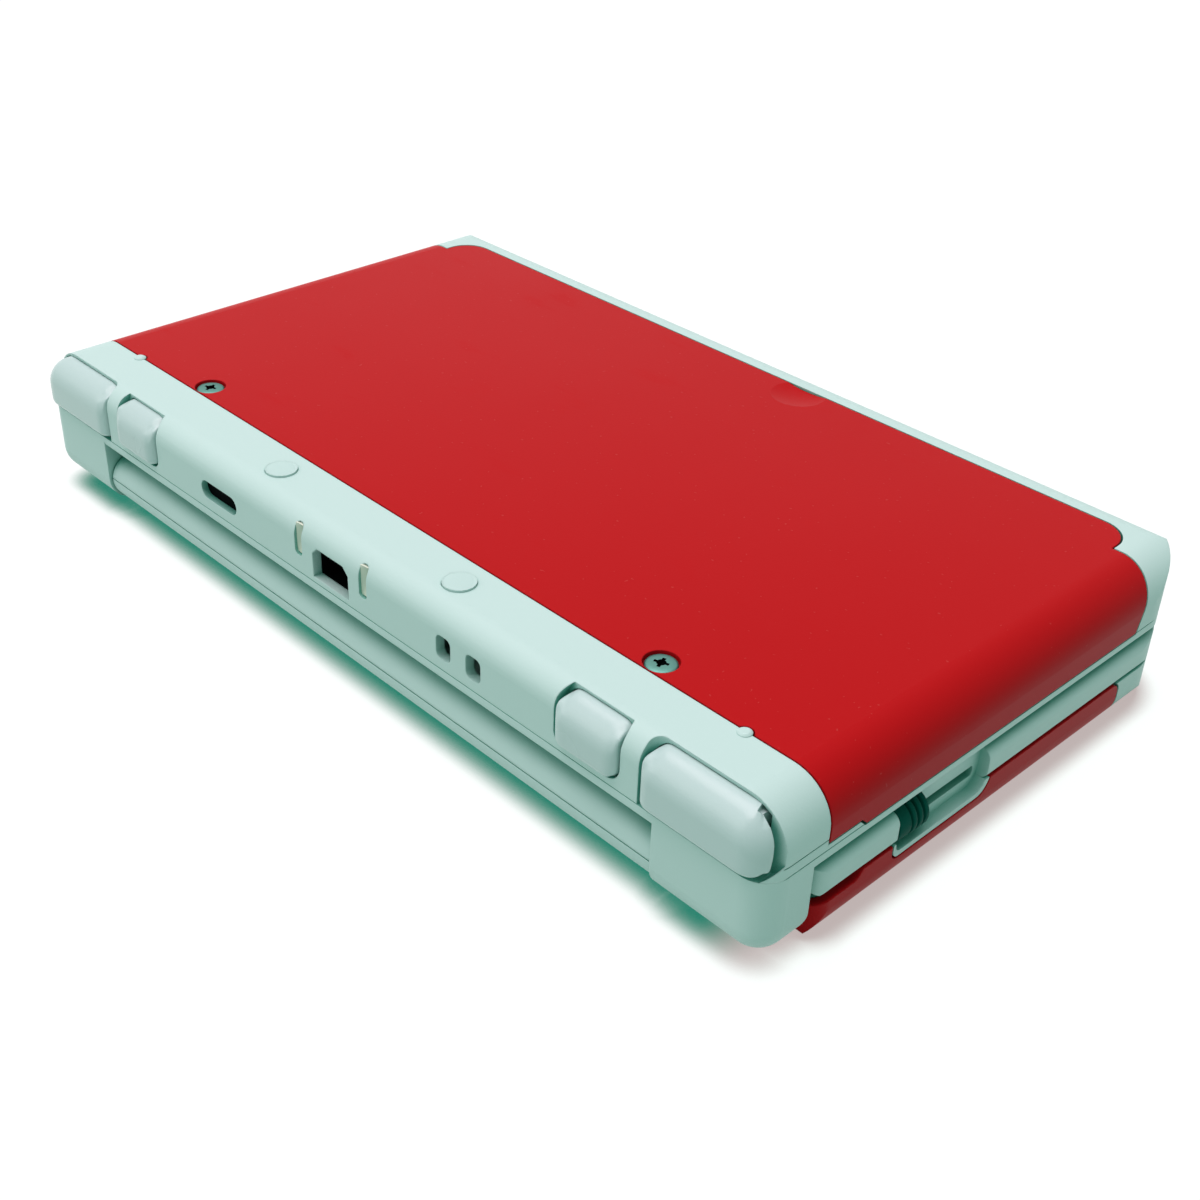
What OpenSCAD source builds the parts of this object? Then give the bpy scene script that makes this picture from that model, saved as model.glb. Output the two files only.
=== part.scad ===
// Clamshell handheld game console, closed and lying upside down on its lid.
// The lid's outer face is the plane z = 0, the hinge edge is at -Y, and the
// console's own right-hand side is at +X.

/* [Closed size] */
// Width across the two sides
body_w = 142; // [138:1:172]
// Depth from the hinge edge to the front edge
body_d = 80.6; // [79:0.2:98]
// Thickness of the lid
lid_t = 10.3; // [10:0.1:12.4]
// Gap between the closed lid and the base
lid_gap = 1.2; // [1.1:0.1:2]
// Thickness of the base without its feet
base_t = 9.85; // [9.85:0.05:12]

/* [Corners and edges] */
// Plan radius of the two front corners
front_corner_r = 8.75; // [6:0.25:12]
// Radius of the two rear corners in plan, and of the hinge ears' outer ends
rear_corner_r = 3.5; // [2:0.1:3.6]
// Radius where the underside turns down the base's sides
base_side_r = 5.4; // [3:0.1:6]
// Radius where the underside turns down the base's rear face
base_rear_r = 3.2; // [1.5:0.1:3.5]
// Radius where the underside turns down the base's front face
base_front_r = 3; // [1.5:0.1:3.5]
// Radius where the lid's outer face turns up its sides
lid_side_r = 4; // [2:0.1:4.5]
// Radius where the lid's outer face turns up its front and rear ends
lid_end_r = 3.3; // [1.5:0.1:3.5]
// Plan radius of the lid's two rear corners
lid_rear_r = 3.2; // [1:0.1:3.5]
// Radius of the base's edges along the seam between lid and base
seam_r = 0.8; // [0.3:0.1:1]
// Radius of the edges along the line where the base's two housings meet
split_r = 0.2; // [0.1:0.05:0.4]
// Width of the fine grooves along parting lines
seam_groove = 0.15; // [0.1:0.05:0.3]
// Radius of the lid's edges along the seam
lid_seam_r = 1.4; // [0.6:0.1:1.6]
// Radius of the inner housing's edge along the lid's parting line
lid_split_r = 0.9; // [0.2:0.1:1]

/* [Shells] */
// Thickness of the two red covers
cover_t = 1.2; // [1:0.1:1.3]
// Thickness of the housings' outer walls
wall_t = 1.3; // [1:0.1:1.6]
// Thickness of the control face and of the screen bezel
face_t = 1.1; // [0.9:0.1:1.2]
// Thickness of the decks under the two covers
deck_t = 0.8; // [0.7:0.1:1]
// Clearance between a cover and the housing it sits on
seat_gap = 0.2; // [0.1:0.05:0.25]
// Height of the base's side wall that belongs to the control housing
tray_h = 1.6; // [1.4:0.1:2]
// Height of the lid's parting line above its outer face
lid_split = 6.3; // [5.9:0.1:7]
// Width of the housing's rear band behind the base cover
rear_band = 9.6; // [8:0.1:12]
// Width of the housing's front rim beyond each cover
front_rim = 4.4; // [3.5:0.1:6]
// Inset of the cover's front tab from the side of the base
tab_inset = 6.7; // [5.5:0.1:9]
// Radius of the tab's corners
tab_r = 4.2; // [2:0.1:6]
// Distance from the front edge to the skirt's lower front corner
skirt_set_back = 12; // [10:0.5:16]
// Distance that the skirt's front end leans towards the front edge
skirt_lean = 2.5; // [0:0.1:5]

/* [Hinge] */
// Distance of the hinge axis from the rear edge
hinge_in = 3.75; // [3.75:0.05:4.5]
// Height of the hinge axis above the lid's outer face
hinge_z = 5.95; // [5.8:0.05:6.5]
// Width of each hinge ear
ear_w = 15.7; // [12:0.1:20]
// Radius of the hinge ears
ear_r = 3.75; // [3.6:0.05:3.75]
// Radius of the lid's hinge barrel
barrel_r = 3.35; // [3:0.05:3.4]
// Sideways gap between an ear and the barrel
ear_gap = 0.2; // [0.1:0.05:0.4]
// Radius of the hinge pins
pin_r = 1.6; // [1.2:0.1:1.8]
// Radial clearance of a pin in its ear
pin_fit = 0.05; // [0.02:0.01:0.09]
// Length of pin held in an ear
pin_in_ear = 7; // [4:0.5:10]
// Length of pin held in the barrel
pin_in_barrel = 6; // [4:0.5:10]
// Gap between the lid's rear end and the ears
lid_rear_gap = 0.4; // [0.3:0.1:1]

/* [Screens] */
// Width of the upper picture area
upper_view_w = 84.5; // [80:0.5:90]
// Height of the upper picture area
upper_view_h = 50.7; // [48:0.5:54]
// Distance of the upper picture's centre from the lid's middle, towards the front
upper_view_y = 1.5; // [0:0.1:2]
// Width of the lower picture area
lower_view_w = 67.7; // [64:0.1:70]
// Height of the lower picture area
lower_view_h = 50.8; // [48:0.1:52]
// Distance of the lower picture's centre from the base's middle, towards the front
lower_view_y = 0.5; // [-2:0.5:1]
// Margin of the touch panel around its picture area
panel_margin = 2.4; // [1.5:0.1:2.6]
// Thickness of the touch panel
panel_t = 0.7; // [0.5:0.1:0.8]
// Thickness of the lower display
display_t = 1.4; // [1:0.1:1.5]
// Thickness of the upper screen's glass
glass_t = 0.7; // [0.5:0.1:1]
// Width of the upper screen's glass
glass_w = 118; // [110:1:120]
// Height of the upper screen's glass
glass_h = 61; // [58:0.5:62]

/* [Controls] */
// Distance of the thumb controls' centre line from each side
thumb_in = 17; // [16.5:0.1:20]
// Height of the buttons above the control face
button_proud = 0.8; // [0.4:0.1:0.9]
// Height of the direction pad above the control face
cross_proud = 0.4; // [0.2:0.05:0.4]
// Radius of a face button
button_r = 3.6; // [3:0.1:4]
// Distance of each face button from the middle of its group
button_pitch = 8.5; // [8:0.1:9.5]
// Gap around each button in its hole
button_gap = 0.2; // [0.15:0.05:0.3]
// Radius of the circle pad's cap
pad_r = 7.8; // [7:0.1:8]
// Travel of the circle pad each way from its centre
pad_travel = 2.8; // [2:0.1:3]
// Span of the direction pad's cross
cross_w = 19; // [17:0.5:20]
// Width of one arm of the cross
arm_w = 6.4; // [5.5:0.1:7]
// Width of the trigger next to the shoulder button
trigger_w = 9.6; // [7:0.1:10]
// Length of the shoulder button
shoulder_w = 17.6; // [14:0.1:18.5]
// Distance that shoulder buttons and triggers stand out of the rear face
shoulder_proud = 0.8; // [0.5:0.1:1.2]
// Gap around the shoulder buttons and triggers
shoulder_gap = 0.3; // [0.2:0.05:0.4]
// Length of the depth and volume sliders' slots
slider_slot = 16.7; // [14:0.1:20]
// Length of a slider's knob
slider_knob = 5.3; // [4:0.1:7]

/* [Ports and openings] */
// Width of the charging port
port_w = 7.2; // [6.8:0.1:8]
// Height of the charging port
port_h = 4.3; // [4.2:0.1:4.6]
// Width of the game card slot
card_w = 33.4; // [33.2:0.1:34]
// Height of the game card slot
card_h = 4.2; // [4.1:0.05:4.3]
// Radius of the headphone plug's bore
jack_r = 1.8; // [1.75:0.01:1.85]
// Radius of the stylus
stylus_r = 1.7; // [1.5:0.05:1.75]
// Distance of the stylus from the middle of the base
stylus_x = 12; // [11:0.5:14]
// Spacing of the two holes beside the strap bar
strap_pitch = 5.3; // [4.6:0.1:6]
// Radius of the two cover screws' heads
screw_head_r = 1.95; // [1.6:0.05:2.2]
// Distance of the two cover screws from the middle
screw_x = 44.5; // [40:0.5:50]

/* [Battery and feet] */
// Width of the battery
battery_w = 50; // [45:0.5:52]
// Depth of the battery
battery_d = 29.5; // [26:0.5:30]
// Thickness of the battery
battery_t = 4.6; // [4.2:0.1:4.6]
// Radius of the two rubber feet
foot_r = 2.1; // [1.6:0.1:2.4]
// Height of the feet above the underside
foot_proud = 0.25; // [0.2:0.05:0.5]
// Distance of the feet from the middle
foot_x = 17.9; // [14:0.1:22]

/* [Hidden] */
$fn = 48;

// Colours
red = [0.78, 0.12, 0.14];
mint = [0.80, 0.89, 0.86];
black = [0.07, 0.08, 0.08];
metal = [0.62, 0.65, 0.65];
steel = [0.42, 0.56, 0.53];
green_board = [0.10, 0.33, 0.22];
teal = [0.12, 0.38, 0.34];

// Main planes
half_w = body_w / 2;
half_d = body_d / 2;
base_z = lid_t + lid_gap;
top_z = base_z + base_t;
split_z = base_z + tray_h;
face_in = base_z + face_t;
deck_top = top_z - cover_t - seat_gap;
deck_in = deck_top - deck_t;
hinge_y = -half_d + hinge_in;
cover_rear_y = -half_d + rear_band;
cover_front_y = half_d - front_rim;
tab_x = half_w - tab_inset;
inner_x = half_w - cover_t - seat_gap - wall_t;
inner_y = half_d - wall_t;
lid_deck = cover_t + seat_gap + deck_t;
lid_inset = cover_t + seat_gap + wall_t;
bezel_in = lid_t - face_t;
lid_rear_y = hinge_y + ear_r + lid_rear_gap;
ear_x = half_w - ear_w;
far = body_w;
slip = 0.05;

// Stack of the base, from the control face to the deck
panel_top = face_in + panel_t;
display_top = panel_top + display_t;
board_z = display_top + 0.2;
board_t = 0.8;
board_top = board_z + board_t;
button_tip = base_z - button_proud;
flange_z = face_in + 0.15;
flange_t = 0.5;
button_travel = 0.7;
membrane_z = flange_z + flange_t + button_travel + 0.1;

// Places of the controls
pad_x = -half_w + thumb_in;
pad_y = -half_d + 27.3;
cross_y = pad_y + 27;
cross_pivot_z = board_z - 0.9;
group_x = half_w - thumb_in;
group_y = -half_d + 30.3;
nub_x = group_x - 11;
nub_y = group_y - 16;
pill_x = group_x + 1;
start_y = group_y + 22;
select_y = start_y + 8;
home_y = half_d - 7.1;
power_x = half_w - 34;

// Shoulder controls
shoulder_x1 = half_w - 0.1;
shoulder_x0 = shoulder_x1 - shoulder_w;
trigger_x1 = shoulder_x0 - 3.3;
trigger_x0 = trigger_x1 - trigger_w;
shoulder_z0 = split_z + 0.4;
shoulder_z1 = top_z - 0.6;
trigger_z0 = shoulder_z0 + 0.8;
shoulder_y0 = -half_d - shoulder_proud;
shoulder_y1 = shoulder_y0 + 4.7;
shoulder_lip_y = -half_d + 2.7;
trigger_lip_y = -half_d + 2.3;
pocket_y = shoulder_y1 + 1.2;
shoulder_rs = [1, 2.8, base_side_r - 0.2, 2.2];
// Where a shoulder button gets thinner towards the side, and how deep its outer end reaches
shoulder_step_x = half_w - 2.7;
shoulder_end_y = shoulder_y0 + 2.4;
trigger_rs = [1.2, 1.8, 1.4, 2.2];
shoulder_pin_r = 0.6;
shoulder_pin_x = shoulder_x0 + 2;
shoulder_pin_y = shoulder_y1 - 1.6;

// Battery and card places
battery_x = -screw_x;
battery_y = cover_rear_y + 5.5;
well_gap = 0.3;
well_wall = 0.8;
well_floor = 0.4;
card_x = battery_x - 6.2;
cage_t = 0.2;
cage_y = battery_y + battery_d + well_gap + well_wall + 0.4;
card_z0 = board_z + cage_t;
card_z1 = card_z0 + card_h;
sleeve_r = 2.15;
stylus_gap = 0.15;
stylus_z = deck_in - sleeve_r;
stylus_end_y = -half_d + 7.2;
screw_y = cover_rear_y + 2.2;
screw_boss_r = 2.2;
screw_shank_r = 0.8;

// Places in the lid
cam_x = 17.5;
cam_y = half_d - 10.3;
inner_cam_y = half_d - 4.8;
lid_fix_x = half_w - 8;
lid_screw_y = half_d - 12;
bumper_ys = [half_d - 7, lid_rear_y + 4.4];
bumper_r = 2;

// Places of the base's screws, foot pads and memory card
base_screw_x = inner_x - 3;
base_screw_ys = [-half_d + 11, half_d - 12];
foot_y = -half_d + 5.4;
memory_x0 = 45;
memory_y0 = cage_y + 9;
light_x = power_x + 10.2;
light_pitch = 5;
nub_at_x = half_w - 12;
nub_at_y = cover_rear_y - 0.35;
cover_nub_r = 0.85;

// Ribbon from the barrel to the lid's board
ribbon_w = 8;
ribbon_x = -ear_x + ear_gap + pin_in_barrel + 2;

// Ports
port_x = -0.4;
port_z = split_z + 3.05;
contact_x = 6.6;
contact_z = port_z + 1.8;
ir_x = -25;
ir_z = port_z;
strap_x = 24;
strap_z = port_z + 0.1;
jack_z = (board_z + deck_in) / 2;

// Slider places on the lid's sides
slot_y0 = -half_d + 22.3;
slot_y1 = slot_y0 + slider_slot;
slot_z0 = 5.1;
slot_depth = 1.5;
stem_z0 = 6.6;
stem_z1 = 8;

// ---------- shared shapes ----------

// Rectangle with its own radius at [x0 y0, x1 y0, x1 y1, x0 y1]
module round_rect(x0, y0, x1, y1, r) {
    difference() {
        translate([x0, y0]) square([x1 - x0, y1 - y0]);
        for (c = [[x0, y0, 1, 1, r[0]], [x1, y0, -1, 1, r[1]], [x1, y1, -1, -1, r[2]], [x0, y1, 1, -1, r[3]]])
            if (c[4] > 0)
                difference() {
                    translate([c[0] + c[2] * (c[4] - 1) / 2, c[1] + c[3] * (c[4] - 1) / 2])
                        square(c[4] + 1, center = true);
                    translate([c[0] + c[2] * c[4], c[1] + c[3] * c[4]])
                        circle(c[4]);
                }
    }
}

// Extrudes a (Y, Z) drawing from x0 to x1
module along_x(x0, x1) {
    translate([x0, 0, 0])
        rotate([90, 0, 90])
            linear_extrude(x1 - x0)
                children();
}

// Extrudes an (X, Z) drawing from y0 to y1
module along_y(y0, y1) {
    translate([0, y1, 0])
        rotate([90, 0, 0])
            linear_extrude(y1 - y0)
                children();
}

// Extrudes an (X, Y) drawing from z0 to z1
module along_z(z0, z1) {
    translate([0, 0, z0])
        linear_extrude(z1 - z0)
            children();
}

// Box between two corners
module box(x0, y0, z0, x1, y1, z1) {
    translate([x0, y0, z0])
        cube([x1 - x0, y1 - y0, z1 - z0]);
}

// Cylinder along X from x0 to x1 on the hinge axis
module on_hinge(x0, x1, r) {
    translate([x0, hinge_y, hinge_z])
        rotate([0, 90, 0])
            cylinder(r = r, h = x1 - x0);
}

// The children and their mirror image on the other side
module both_sides() {
    children();
    mirror([1, 0, 0])
        children();
}

// Outer form of the base, moved in by inset and standing on the plane low
module base_form(inset = 0, low = base_z) {
    x = half_w - inset;
    y = half_d - inset;
    z = top_z - inset;
    low_r = low == base_z ? seam_r : inset == 0 ? split_r : 0;
    rear_r = max(rear_corner_r - inset, 0.3);
    front_r = front_corner_r - inset;
    side_r = base_side_r - inset;
    intersection() {
        along_z(low, z)
            round_rect(-x, -y, x, y, [rear_r, rear_r, front_r, front_r]);
        along_y(-y - 1, y + 1)
            round_rect(-x, low, x, z, [low_r, low_r, side_r, side_r]);
        along_x(-x - 1, x + 1)
            round_rect(-y, low, y, z, [low_r, low_r, base_front_r - min(inset, 2), base_rear_r - min(inset, 2)]);
    }
}

// Hollow of the base, stepped in at the sides to keep clear of the rounded edge
module base_hollow() {
    step_z = top_z - base_side_r + 1.25;
    step_x = inner_x - 2.4;
    corner_r = front_corner_r - wall_t - 1;
    along_z(split_z - 1, step_z)
        round_rect(-inner_x, -inner_y, inner_x, inner_y, [1, 1, corner_r, corner_r]);
    along_z(step_z - 1, deck_in)
        round_rect(-step_x, -inner_y, step_x, inner_y, [1, 1, corner_r, corner_r]);
}

// Outer form of the lid, moved in by inset and reaching from the plane low up to the plane high
module lid_form(inset = 0, high = lid_t, low = 0) {
    x = half_w - inset;
    y0 = lid_rear_y + inset;
    y1 = half_d - inset;
    high_r = high == lid_t ? lid_seam_r : 0;
    rear_r = max(lid_rear_r - inset, 0.3);
    front_r = front_corner_r - inset;
    side_r = lid_side_r - inset;
    end_r = lid_end_r - min(inset, 2);
    intersection() {
        along_z(low, high)
            round_rect(-x, y0, x, y1, [rear_r, rear_r, front_r, front_r]);
        along_y(y0 - 1, y1 + 1)
            round_rect(-x, low, x, high, [side_r, side_r, high_r, high_r]);
        along_x(-x - 1, x + 1)
            round_rect(y0, low, y1, high, [end_r, end_r, high_r, high_r]);
    }
}

// Outer form of the lid's inner housing: a bead with rounded edges above the parting line
module lid_bead() {
    intersection() {
        lid_form();
        along_y(-far, far)
            round_rect(-half_w, lid_split, half_w, lid_t, [lid_split_r, lid_split_r, lid_seam_r, lid_seam_r]);
        along_x(-far, far)
            round_rect(lid_rear_y, lid_split, half_d, lid_t, [2.8, lid_split_r, lid_seam_r, lid_seam_r]);
    }
}

// Space that the base cover takes up, made larger by grow
module base_cover_zone(grow = 0) {
    rear = cover_rear_y - grow;
    front = half_d - skirt_set_back + grow;
    low = split_z + 0.05 - grow;
    notch_y = cover_rear_y + 6.2 - grow;
    along_z(split_z + 3, top_z + 1)
        round_rect(-tab_x - grow, rear, tab_x + grow, cover_front_y + grow, [0, 0, tab_r, tab_r]);
    along_x(-far, far)
        polygon([
            [rear, low + 0.9], [notch_y - 0.9, low + 0.9], [notch_y, low], [front, low],
            [front + skirt_lean * (top_z + 1 - low) / (top_z - split_z), top_z + 1], [rear, top_z + 1]
        ]);
}

// Space that the lid cover takes up, made larger by grow
module lid_cover_zone(grow = 0) {
    rear = lid_rear_y - 1;
    front = half_d - skirt_set_back - 1 + grow;
    high = lid_split - 0.05 + grow;
    along_z(-1, hinge_z - barrel_r - 2 * seat_gap + grow)
        round_rect(-tab_x - grow, lid_rear_y - 1, tab_x + grow, cover_front_y + grow, [0, 0, tab_r, tab_r]);
    difference() {
        both_sides()
            along_x(half_w - 7, far)
                round_rect(rear, -1, front, high, [0, 0, 1.5, 0]);
        along_x(-far, far) skirt_dip(grow);
        slider_lip(grow);
    }
}

// Where the lid cover's skirt is lowered near the hinge, seen from the side
module skirt_dip(grow = 0) {
    z = lid_split - 1.1 + grow;
    y = slot_y0 - 5.6 - grow;
    polygon([
        [lid_rear_y - 2, z], [y - 1.5, z], [y - 1.1, z + 0.1], [y - 0.7, z + 0.35],
        [y - 0.3, z + 0.75], [y, z + 1.2], [y, lid_split + 1], [lid_rear_y - 2, lid_split + 1]
    ]);
}

// Part of the lid's side that the housing's lip takes below each slider
module slider_lip(grow = 0) {
    both_sides()
        along_x(half_w - 4, far)
            round_rect(slot_y0 - 0.6 + grow, slot_z0 - 0.9 + grow, slot_y1 + 0.9 - grow, far, [1, 2.4, 0, 0]);
}

// Notch for a slider in the lid's side at +X, with the slot for its stem
module slider_notch_cut() {
    along_x(half_w - slot_depth, far)
        round_rect(slot_y0, slot_z0, slot_y1, far, [0.9, 2, 0, 0]);
    along_x(inner_x - 3, far)
        round_rect(slot_y0 + 0.9, stem_z0, slot_y1 - 0.9, stem_z1, [0.5, 0.5, 0.5, 0.5]);
}

// Pill-shaped outline, w long in X and d wide in Y
module pill(w, d) {
    round_rect(-w / 2, -d / 2, w / 2, d / 2, [d / 2 - 0.05, d / 2 - 0.05, d / 2 - 0.05, d / 2 - 0.05]);
}

// Cross outline of the direction pad, widened by grow
module cross_outline(grow = 0) {
    square([cross_w + 2 * grow, arm_w + 2 * grow], center = true);
    square([arm_w + 2 * grow, cross_w + 2 * grow], center = true);
}

// Mouth of the charging port seen from the rear, widened by grow
module port_outline(grow = 0) {
    x = port_w / 2 + grow;
    z = port_h / 2 + grow;
    cut = 1;
    translate([port_x, port_z])
        polygon([[-x, -z], [x, -z], [x, z - cut], [x - cut, z], [-x + cut, z], [-x, z - cut]]);
}

// Places of the four face buttons: [x, y]
function face_button_at(i) = [
    group_x + button_pitch * cos(90 * i),
    group_y + button_pitch * sin(90 * i)
];

// ---------- lid ----------

module lid_cover() {
    color(red)
        difference() {
            intersection() {
                difference() {
                    lid_form();
                    lid_form(cover_t, lid_t + 1, cover_t);
                }
                lid_cover_zone();
            }
            // holes for the two outer cameras
            both_sides()
                translate([cam_x, cam_y, -1])
                    cylinder(r = 3.6, h = 4);
        }
}

module lid_outer_housing() {
    color(mint)
        difference() {
            union() {
                difference() {
                    lid_form(cover_t + seat_gap, lid_split, cover_t + seat_gap);
                    lid_form(lid_inset, lid_split + 1, lid_deck);
                }
                intersection() {
                    difference() {
                        lid_form();
                        lid_cover_zone(seat_gap);
                        lid_form(lid_inset, lid_t + 1, lid_deck);
                    }
                    box(-far, -far, -1, far, far, lid_split);
                }
                // lower half of the hinge barrel, joined to the deck
                difference() {
                    union() {
                        on_hinge(-ear_x + ear_gap, ear_x - ear_gap, barrel_r);
                        box(-ear_x + ear_gap, hinge_y, hinge_z - barrel_r, ear_x - ear_gap, lid_rear_y + 1.5, lid_split);
                    }
                    box(-far, -far, lid_split, far, far, lid_t + 1);
                    on_hinge(-far, far, pin_r + 0.65);
                    box(-far, -far, lid_split - seam_groove, far, hinge_y - barrel_r + 2 * split_r, far);
                    box(-far, hinge_y, hinge_z - 1.2, far, lid_rear_y + 3, lid_split + 1);
                }
                // screw bosses
                both_sides()
                    translate([lid_fix_x, lid_screw_y, lid_deck - 0.2])
                        cylinder(r = 1.9, h = lid_split - lid_deck + 0.2);
            }
            slider_notch_cut();
            mirror([1, 0, 0]) slider_notch_cut();
            // recess above the lowered end of the cover's skirt
            both_sides()
                along_x(half_w - lid_inset - 0.2, far)
                    skirt_dip();
            // passage of the display ribbon
            box(ribbon_x - 0.3, hinge_y, hinge_z - 0.6, ribbon_x + ribbon_w + 0.3, lid_rear_y + 6, lid_split + 1);
            both_sides() {
                translate([cam_x, cam_y, -1])
                    cylinder(r = 3, h = 5);
                translate([lid_fix_x, lid_screw_y, lid_deck + 0.6])
                    cylinder(r = 0.8, h = 9);
            }
        }
}

module lid_inner_housing() {
    color(mint)
        difference() {
            union() {
                difference() {
                    lid_bead();
                    intersection() {
                        lid_form(lid_inset, lid_t + 1, lid_deck);
                        box(-far, -far, 0, far, far, bezel_in);
                    }
                }
                // upper half of the hinge barrel, joined to the bezel
                difference() {
                    union() {
                        on_hinge(-ear_x + ear_gap, ear_x - ear_gap, barrel_r);
                        box(-ear_x + ear_gap, hinge_y, hinge_z, ear_x - ear_gap, lid_rear_y + 1.5, hinge_z + barrel_r);
                    }
                    box(-far, -far, -1, far, far, lid_split);
                    on_hinge(-far, far, pin_r + 0.6);
                    box(-far, hinge_y, -1, far, lid_rear_y + 3, hinge_z + 1.2);
                }
                // collars that hold the pins
                both_sides()
                    difference() {
                        on_hinge(ear_x - ear_gap - pin_in_barrel - 1, ear_x - ear_gap, pin_r + 0.6);
                        on_hinge(0, far, pin_r);
                    }
            }
            // seat for the glass and window for the display
            along_z(lid_t - glass_t - 0.05, lid_t + 1)
                translate([0, upper_view_y])
                    round_rect(-glass_w / 2, -glass_h / 2, glass_w / 2, glass_h / 2, [3, 3, 3, 3]);
            box(-upper_view_w / 2 - 1, upper_view_y - upper_view_h / 2 - 1, 0,
                upper_view_w / 2 + 1, upper_view_y + upper_view_h / 2 + 1, lid_t);
            // sound holes
            both_sides()
                for (i = [-2 : 2])
                    translate([half_w - 6.3, upper_view_y + 2.6 * i, 0])
                        cylinder(r = 0.7, h = lid_t + 1);
            // inner camera
            translate([0, inner_cam_y, 0])
                cylinder(r = 1.75, h = lid_t + 1);
            // pockets for the bumpers, and screw holes under them
            both_sides() {
                for (y = bumper_ys)
                    translate([lid_fix_x, y, lid_t - 0.5])
                        cylinder(r = bumper_r + 0.05, h = 2);
                translate([lid_fix_x, lid_screw_y, 0])
                    cylinder(r = 0.9, h = lid_t + 1);
                translate([lid_fix_x, lid_screw_y, lid_t - 0.7])
                    cylinder(r = 1.7, h = 2);
            }
            slider_notch_cut();
            mirror([1, 0, 0]) slider_notch_cut();
        }
}

module upper_screen_glass() {
    color(black)
        along_z(lid_t - glass_t - 0.05, lid_t - 0.05)
            translate([0, upper_view_y])
                round_rect(-glass_w / 2 + 0.1, -glass_h / 2 + 0.1, glass_w / 2 - 0.1, glass_h / 2 - 0.1, [2.9, 2.9, 2.9, 2.9]);
}

module upper_display() {
    x = upper_view_w / 2 + 0.9;
    y = upper_view_h / 2 + 0.9;
    color(black) {
        box(-x, upper_view_y - y, bezel_in - 0.2, x, upper_view_y + y, lid_t - glass_t - 0.05);
        box(-x - 2, upper_view_y - y - 1, bezel_in - 2.4, x + 2, upper_view_y + y + 1, bezel_in - slip);
    }
}

module speakers() {
    color(black)
        both_sides()
            along_z(bezel_in - 3, bezel_in - slip)
                translate([half_w - 8.4, upper_view_y])
                    difference() {
                        round_rect(-3.8, -8, 3.8, 8, [1.5, 1.5, 1.5, 1.5]);
                        translate([2, 0]) circle(1);
                    }
}

module outer_camera_lenses() {
    color(black)
        both_sides()
            translate([cam_x, cam_y, 0]) {
                translate([0, 0, 0.3]) cylinder(r = 3.5, h = cover_t + seat_gap - 0.3 - slip);
                translate([0, 0, cover_t]) cylinder(r = 2.9, h = 0.9);
            }
}

module camera_module() {
    color(black) {
        box(-22, half_d - 14, lid_deck + 0.1, 22, half_d - 6.6, lid_deck + 0.7);
        both_sides()
            box(cam_x - 3.5, cam_y - 3.5, lid_deck + 0.7, cam_x + 3.5, cam_y + 3.5, lid_deck + 2.8);
        // stalk of the inner camera
        translate([0, inner_cam_y, lid_deck + 0.7]) cylinder(r = 1.6, h = bezel_in - lid_deck - 0.8);
        box(-1.2, half_d - 8, lid_deck + 0.7, 1.2, inner_cam_y, lid_deck + 1.3);
    }
}

module inner_camera_lens() {
    color(black)
        translate([0, inner_cam_y, bezel_in - slip])
            cylinder(r = 1.7, h = lid_t - bezel_in - 0.1);
}

module lid_board() {
    color(green_board)
        difference() {
            box(-48, lid_rear_y + 3.5, lid_deck + 0.1, 48, half_d - 15, lid_deck + 0.8);
            box(-40, lid_rear_y + 14, 0, 40, half_d - 22, lid_t);
        }
}

module hinge_pins() {
    color(metal)
        both_sides()
            on_hinge(ear_x - ear_gap - pin_in_barrel, ear_x + pin_in_ear, pin_r);
}

module hinge_clutch() {
    x1 = ear_x - ear_gap - pin_in_barrel - 1.05;
    color(metal)
        difference() {
            on_hinge(x1 - 12, x1, pin_r + 0.5);
            on_hinge(x1 - 13, x1 - 6, 0.9);
        }
}

module lid_bumpers() {
    color(mint)
        both_sides()
            for (y = bumper_ys)
                translate([lid_fix_x, y, lid_t - 0.5])
                    cylinder(r = bumper_r, h = lid_gap + 0.4);
}

module lid_screws() {
    color(steel)
        both_sides()
            translate([lid_fix_x, lid_screw_y, 0]) {
                translate([0, 0, lid_t - 0.7]) cylinder(r = 1.6, h = 0.6);
                translate([0, 0, lid_deck + 0.7]) cylinder(r = 0.75, h = lid_t - 0.7 - lid_deck - 0.7);
            }
}

module display_ribbon() {
    x1 = ribbon_x + ribbon_w;
    color([0.55, 0.33, 0.12]) {
        on_hinge(ribbon_x - 0.9, x1 + 1, 1.7);
        box(ribbon_x, hinge_y, hinge_z - 0.3, x1, lid_rear_y + 5, hinge_z);
        box(ribbon_x, lid_rear_y + 4.7, lid_deck + 0.8, x1, lid_rear_y + 5, hinge_z);
    }
}

module slider_boards() {
    color(green_board)
        both_sides() {
            box(inner_x - 1.6, slot_y0 - 1, lid_deck + 0.3, inner_x - 0.8, slot_y1 + 1, bezel_in - 0.1);
        }
}

// Knob in a side notch, with its ribs and the stem that holds it
module slider_knob_at(y) {
    z0 = slot_z0 + 0.15;
    z1 = lid_t - 0.1;
    x0 = half_w - slot_depth + 0.1;
    x1 = half_w + 0.25;
    rib_pitch = slider_knob / 6;
    difference() {
        intersection() {
            along_x(x0, x1)
                round_rect(y, z0, y + slider_knob, z1, [0.7, 1.9, 0.7, 0.7]);
            along_y(y - 1, y + slider_knob + 1)
                round_rect(x0 - 1, z0, x1, z1, [0, 1.2, 1.2, 0]);
        }
        // grooves between the ribs, on the knob's front half
        for (i = [2 : 4])
            box(x1 - 0.45, y + rib_pitch * (i + 0.35), 0, far, y + rib_pitch * (i + 0.65), lid_t);
    }
    box(inner_x - 0.7, y + 1.4, stem_z0 + 0.15, x0, y + slider_knob - 1.4, stem_z1 - 0.15);
}

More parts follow.
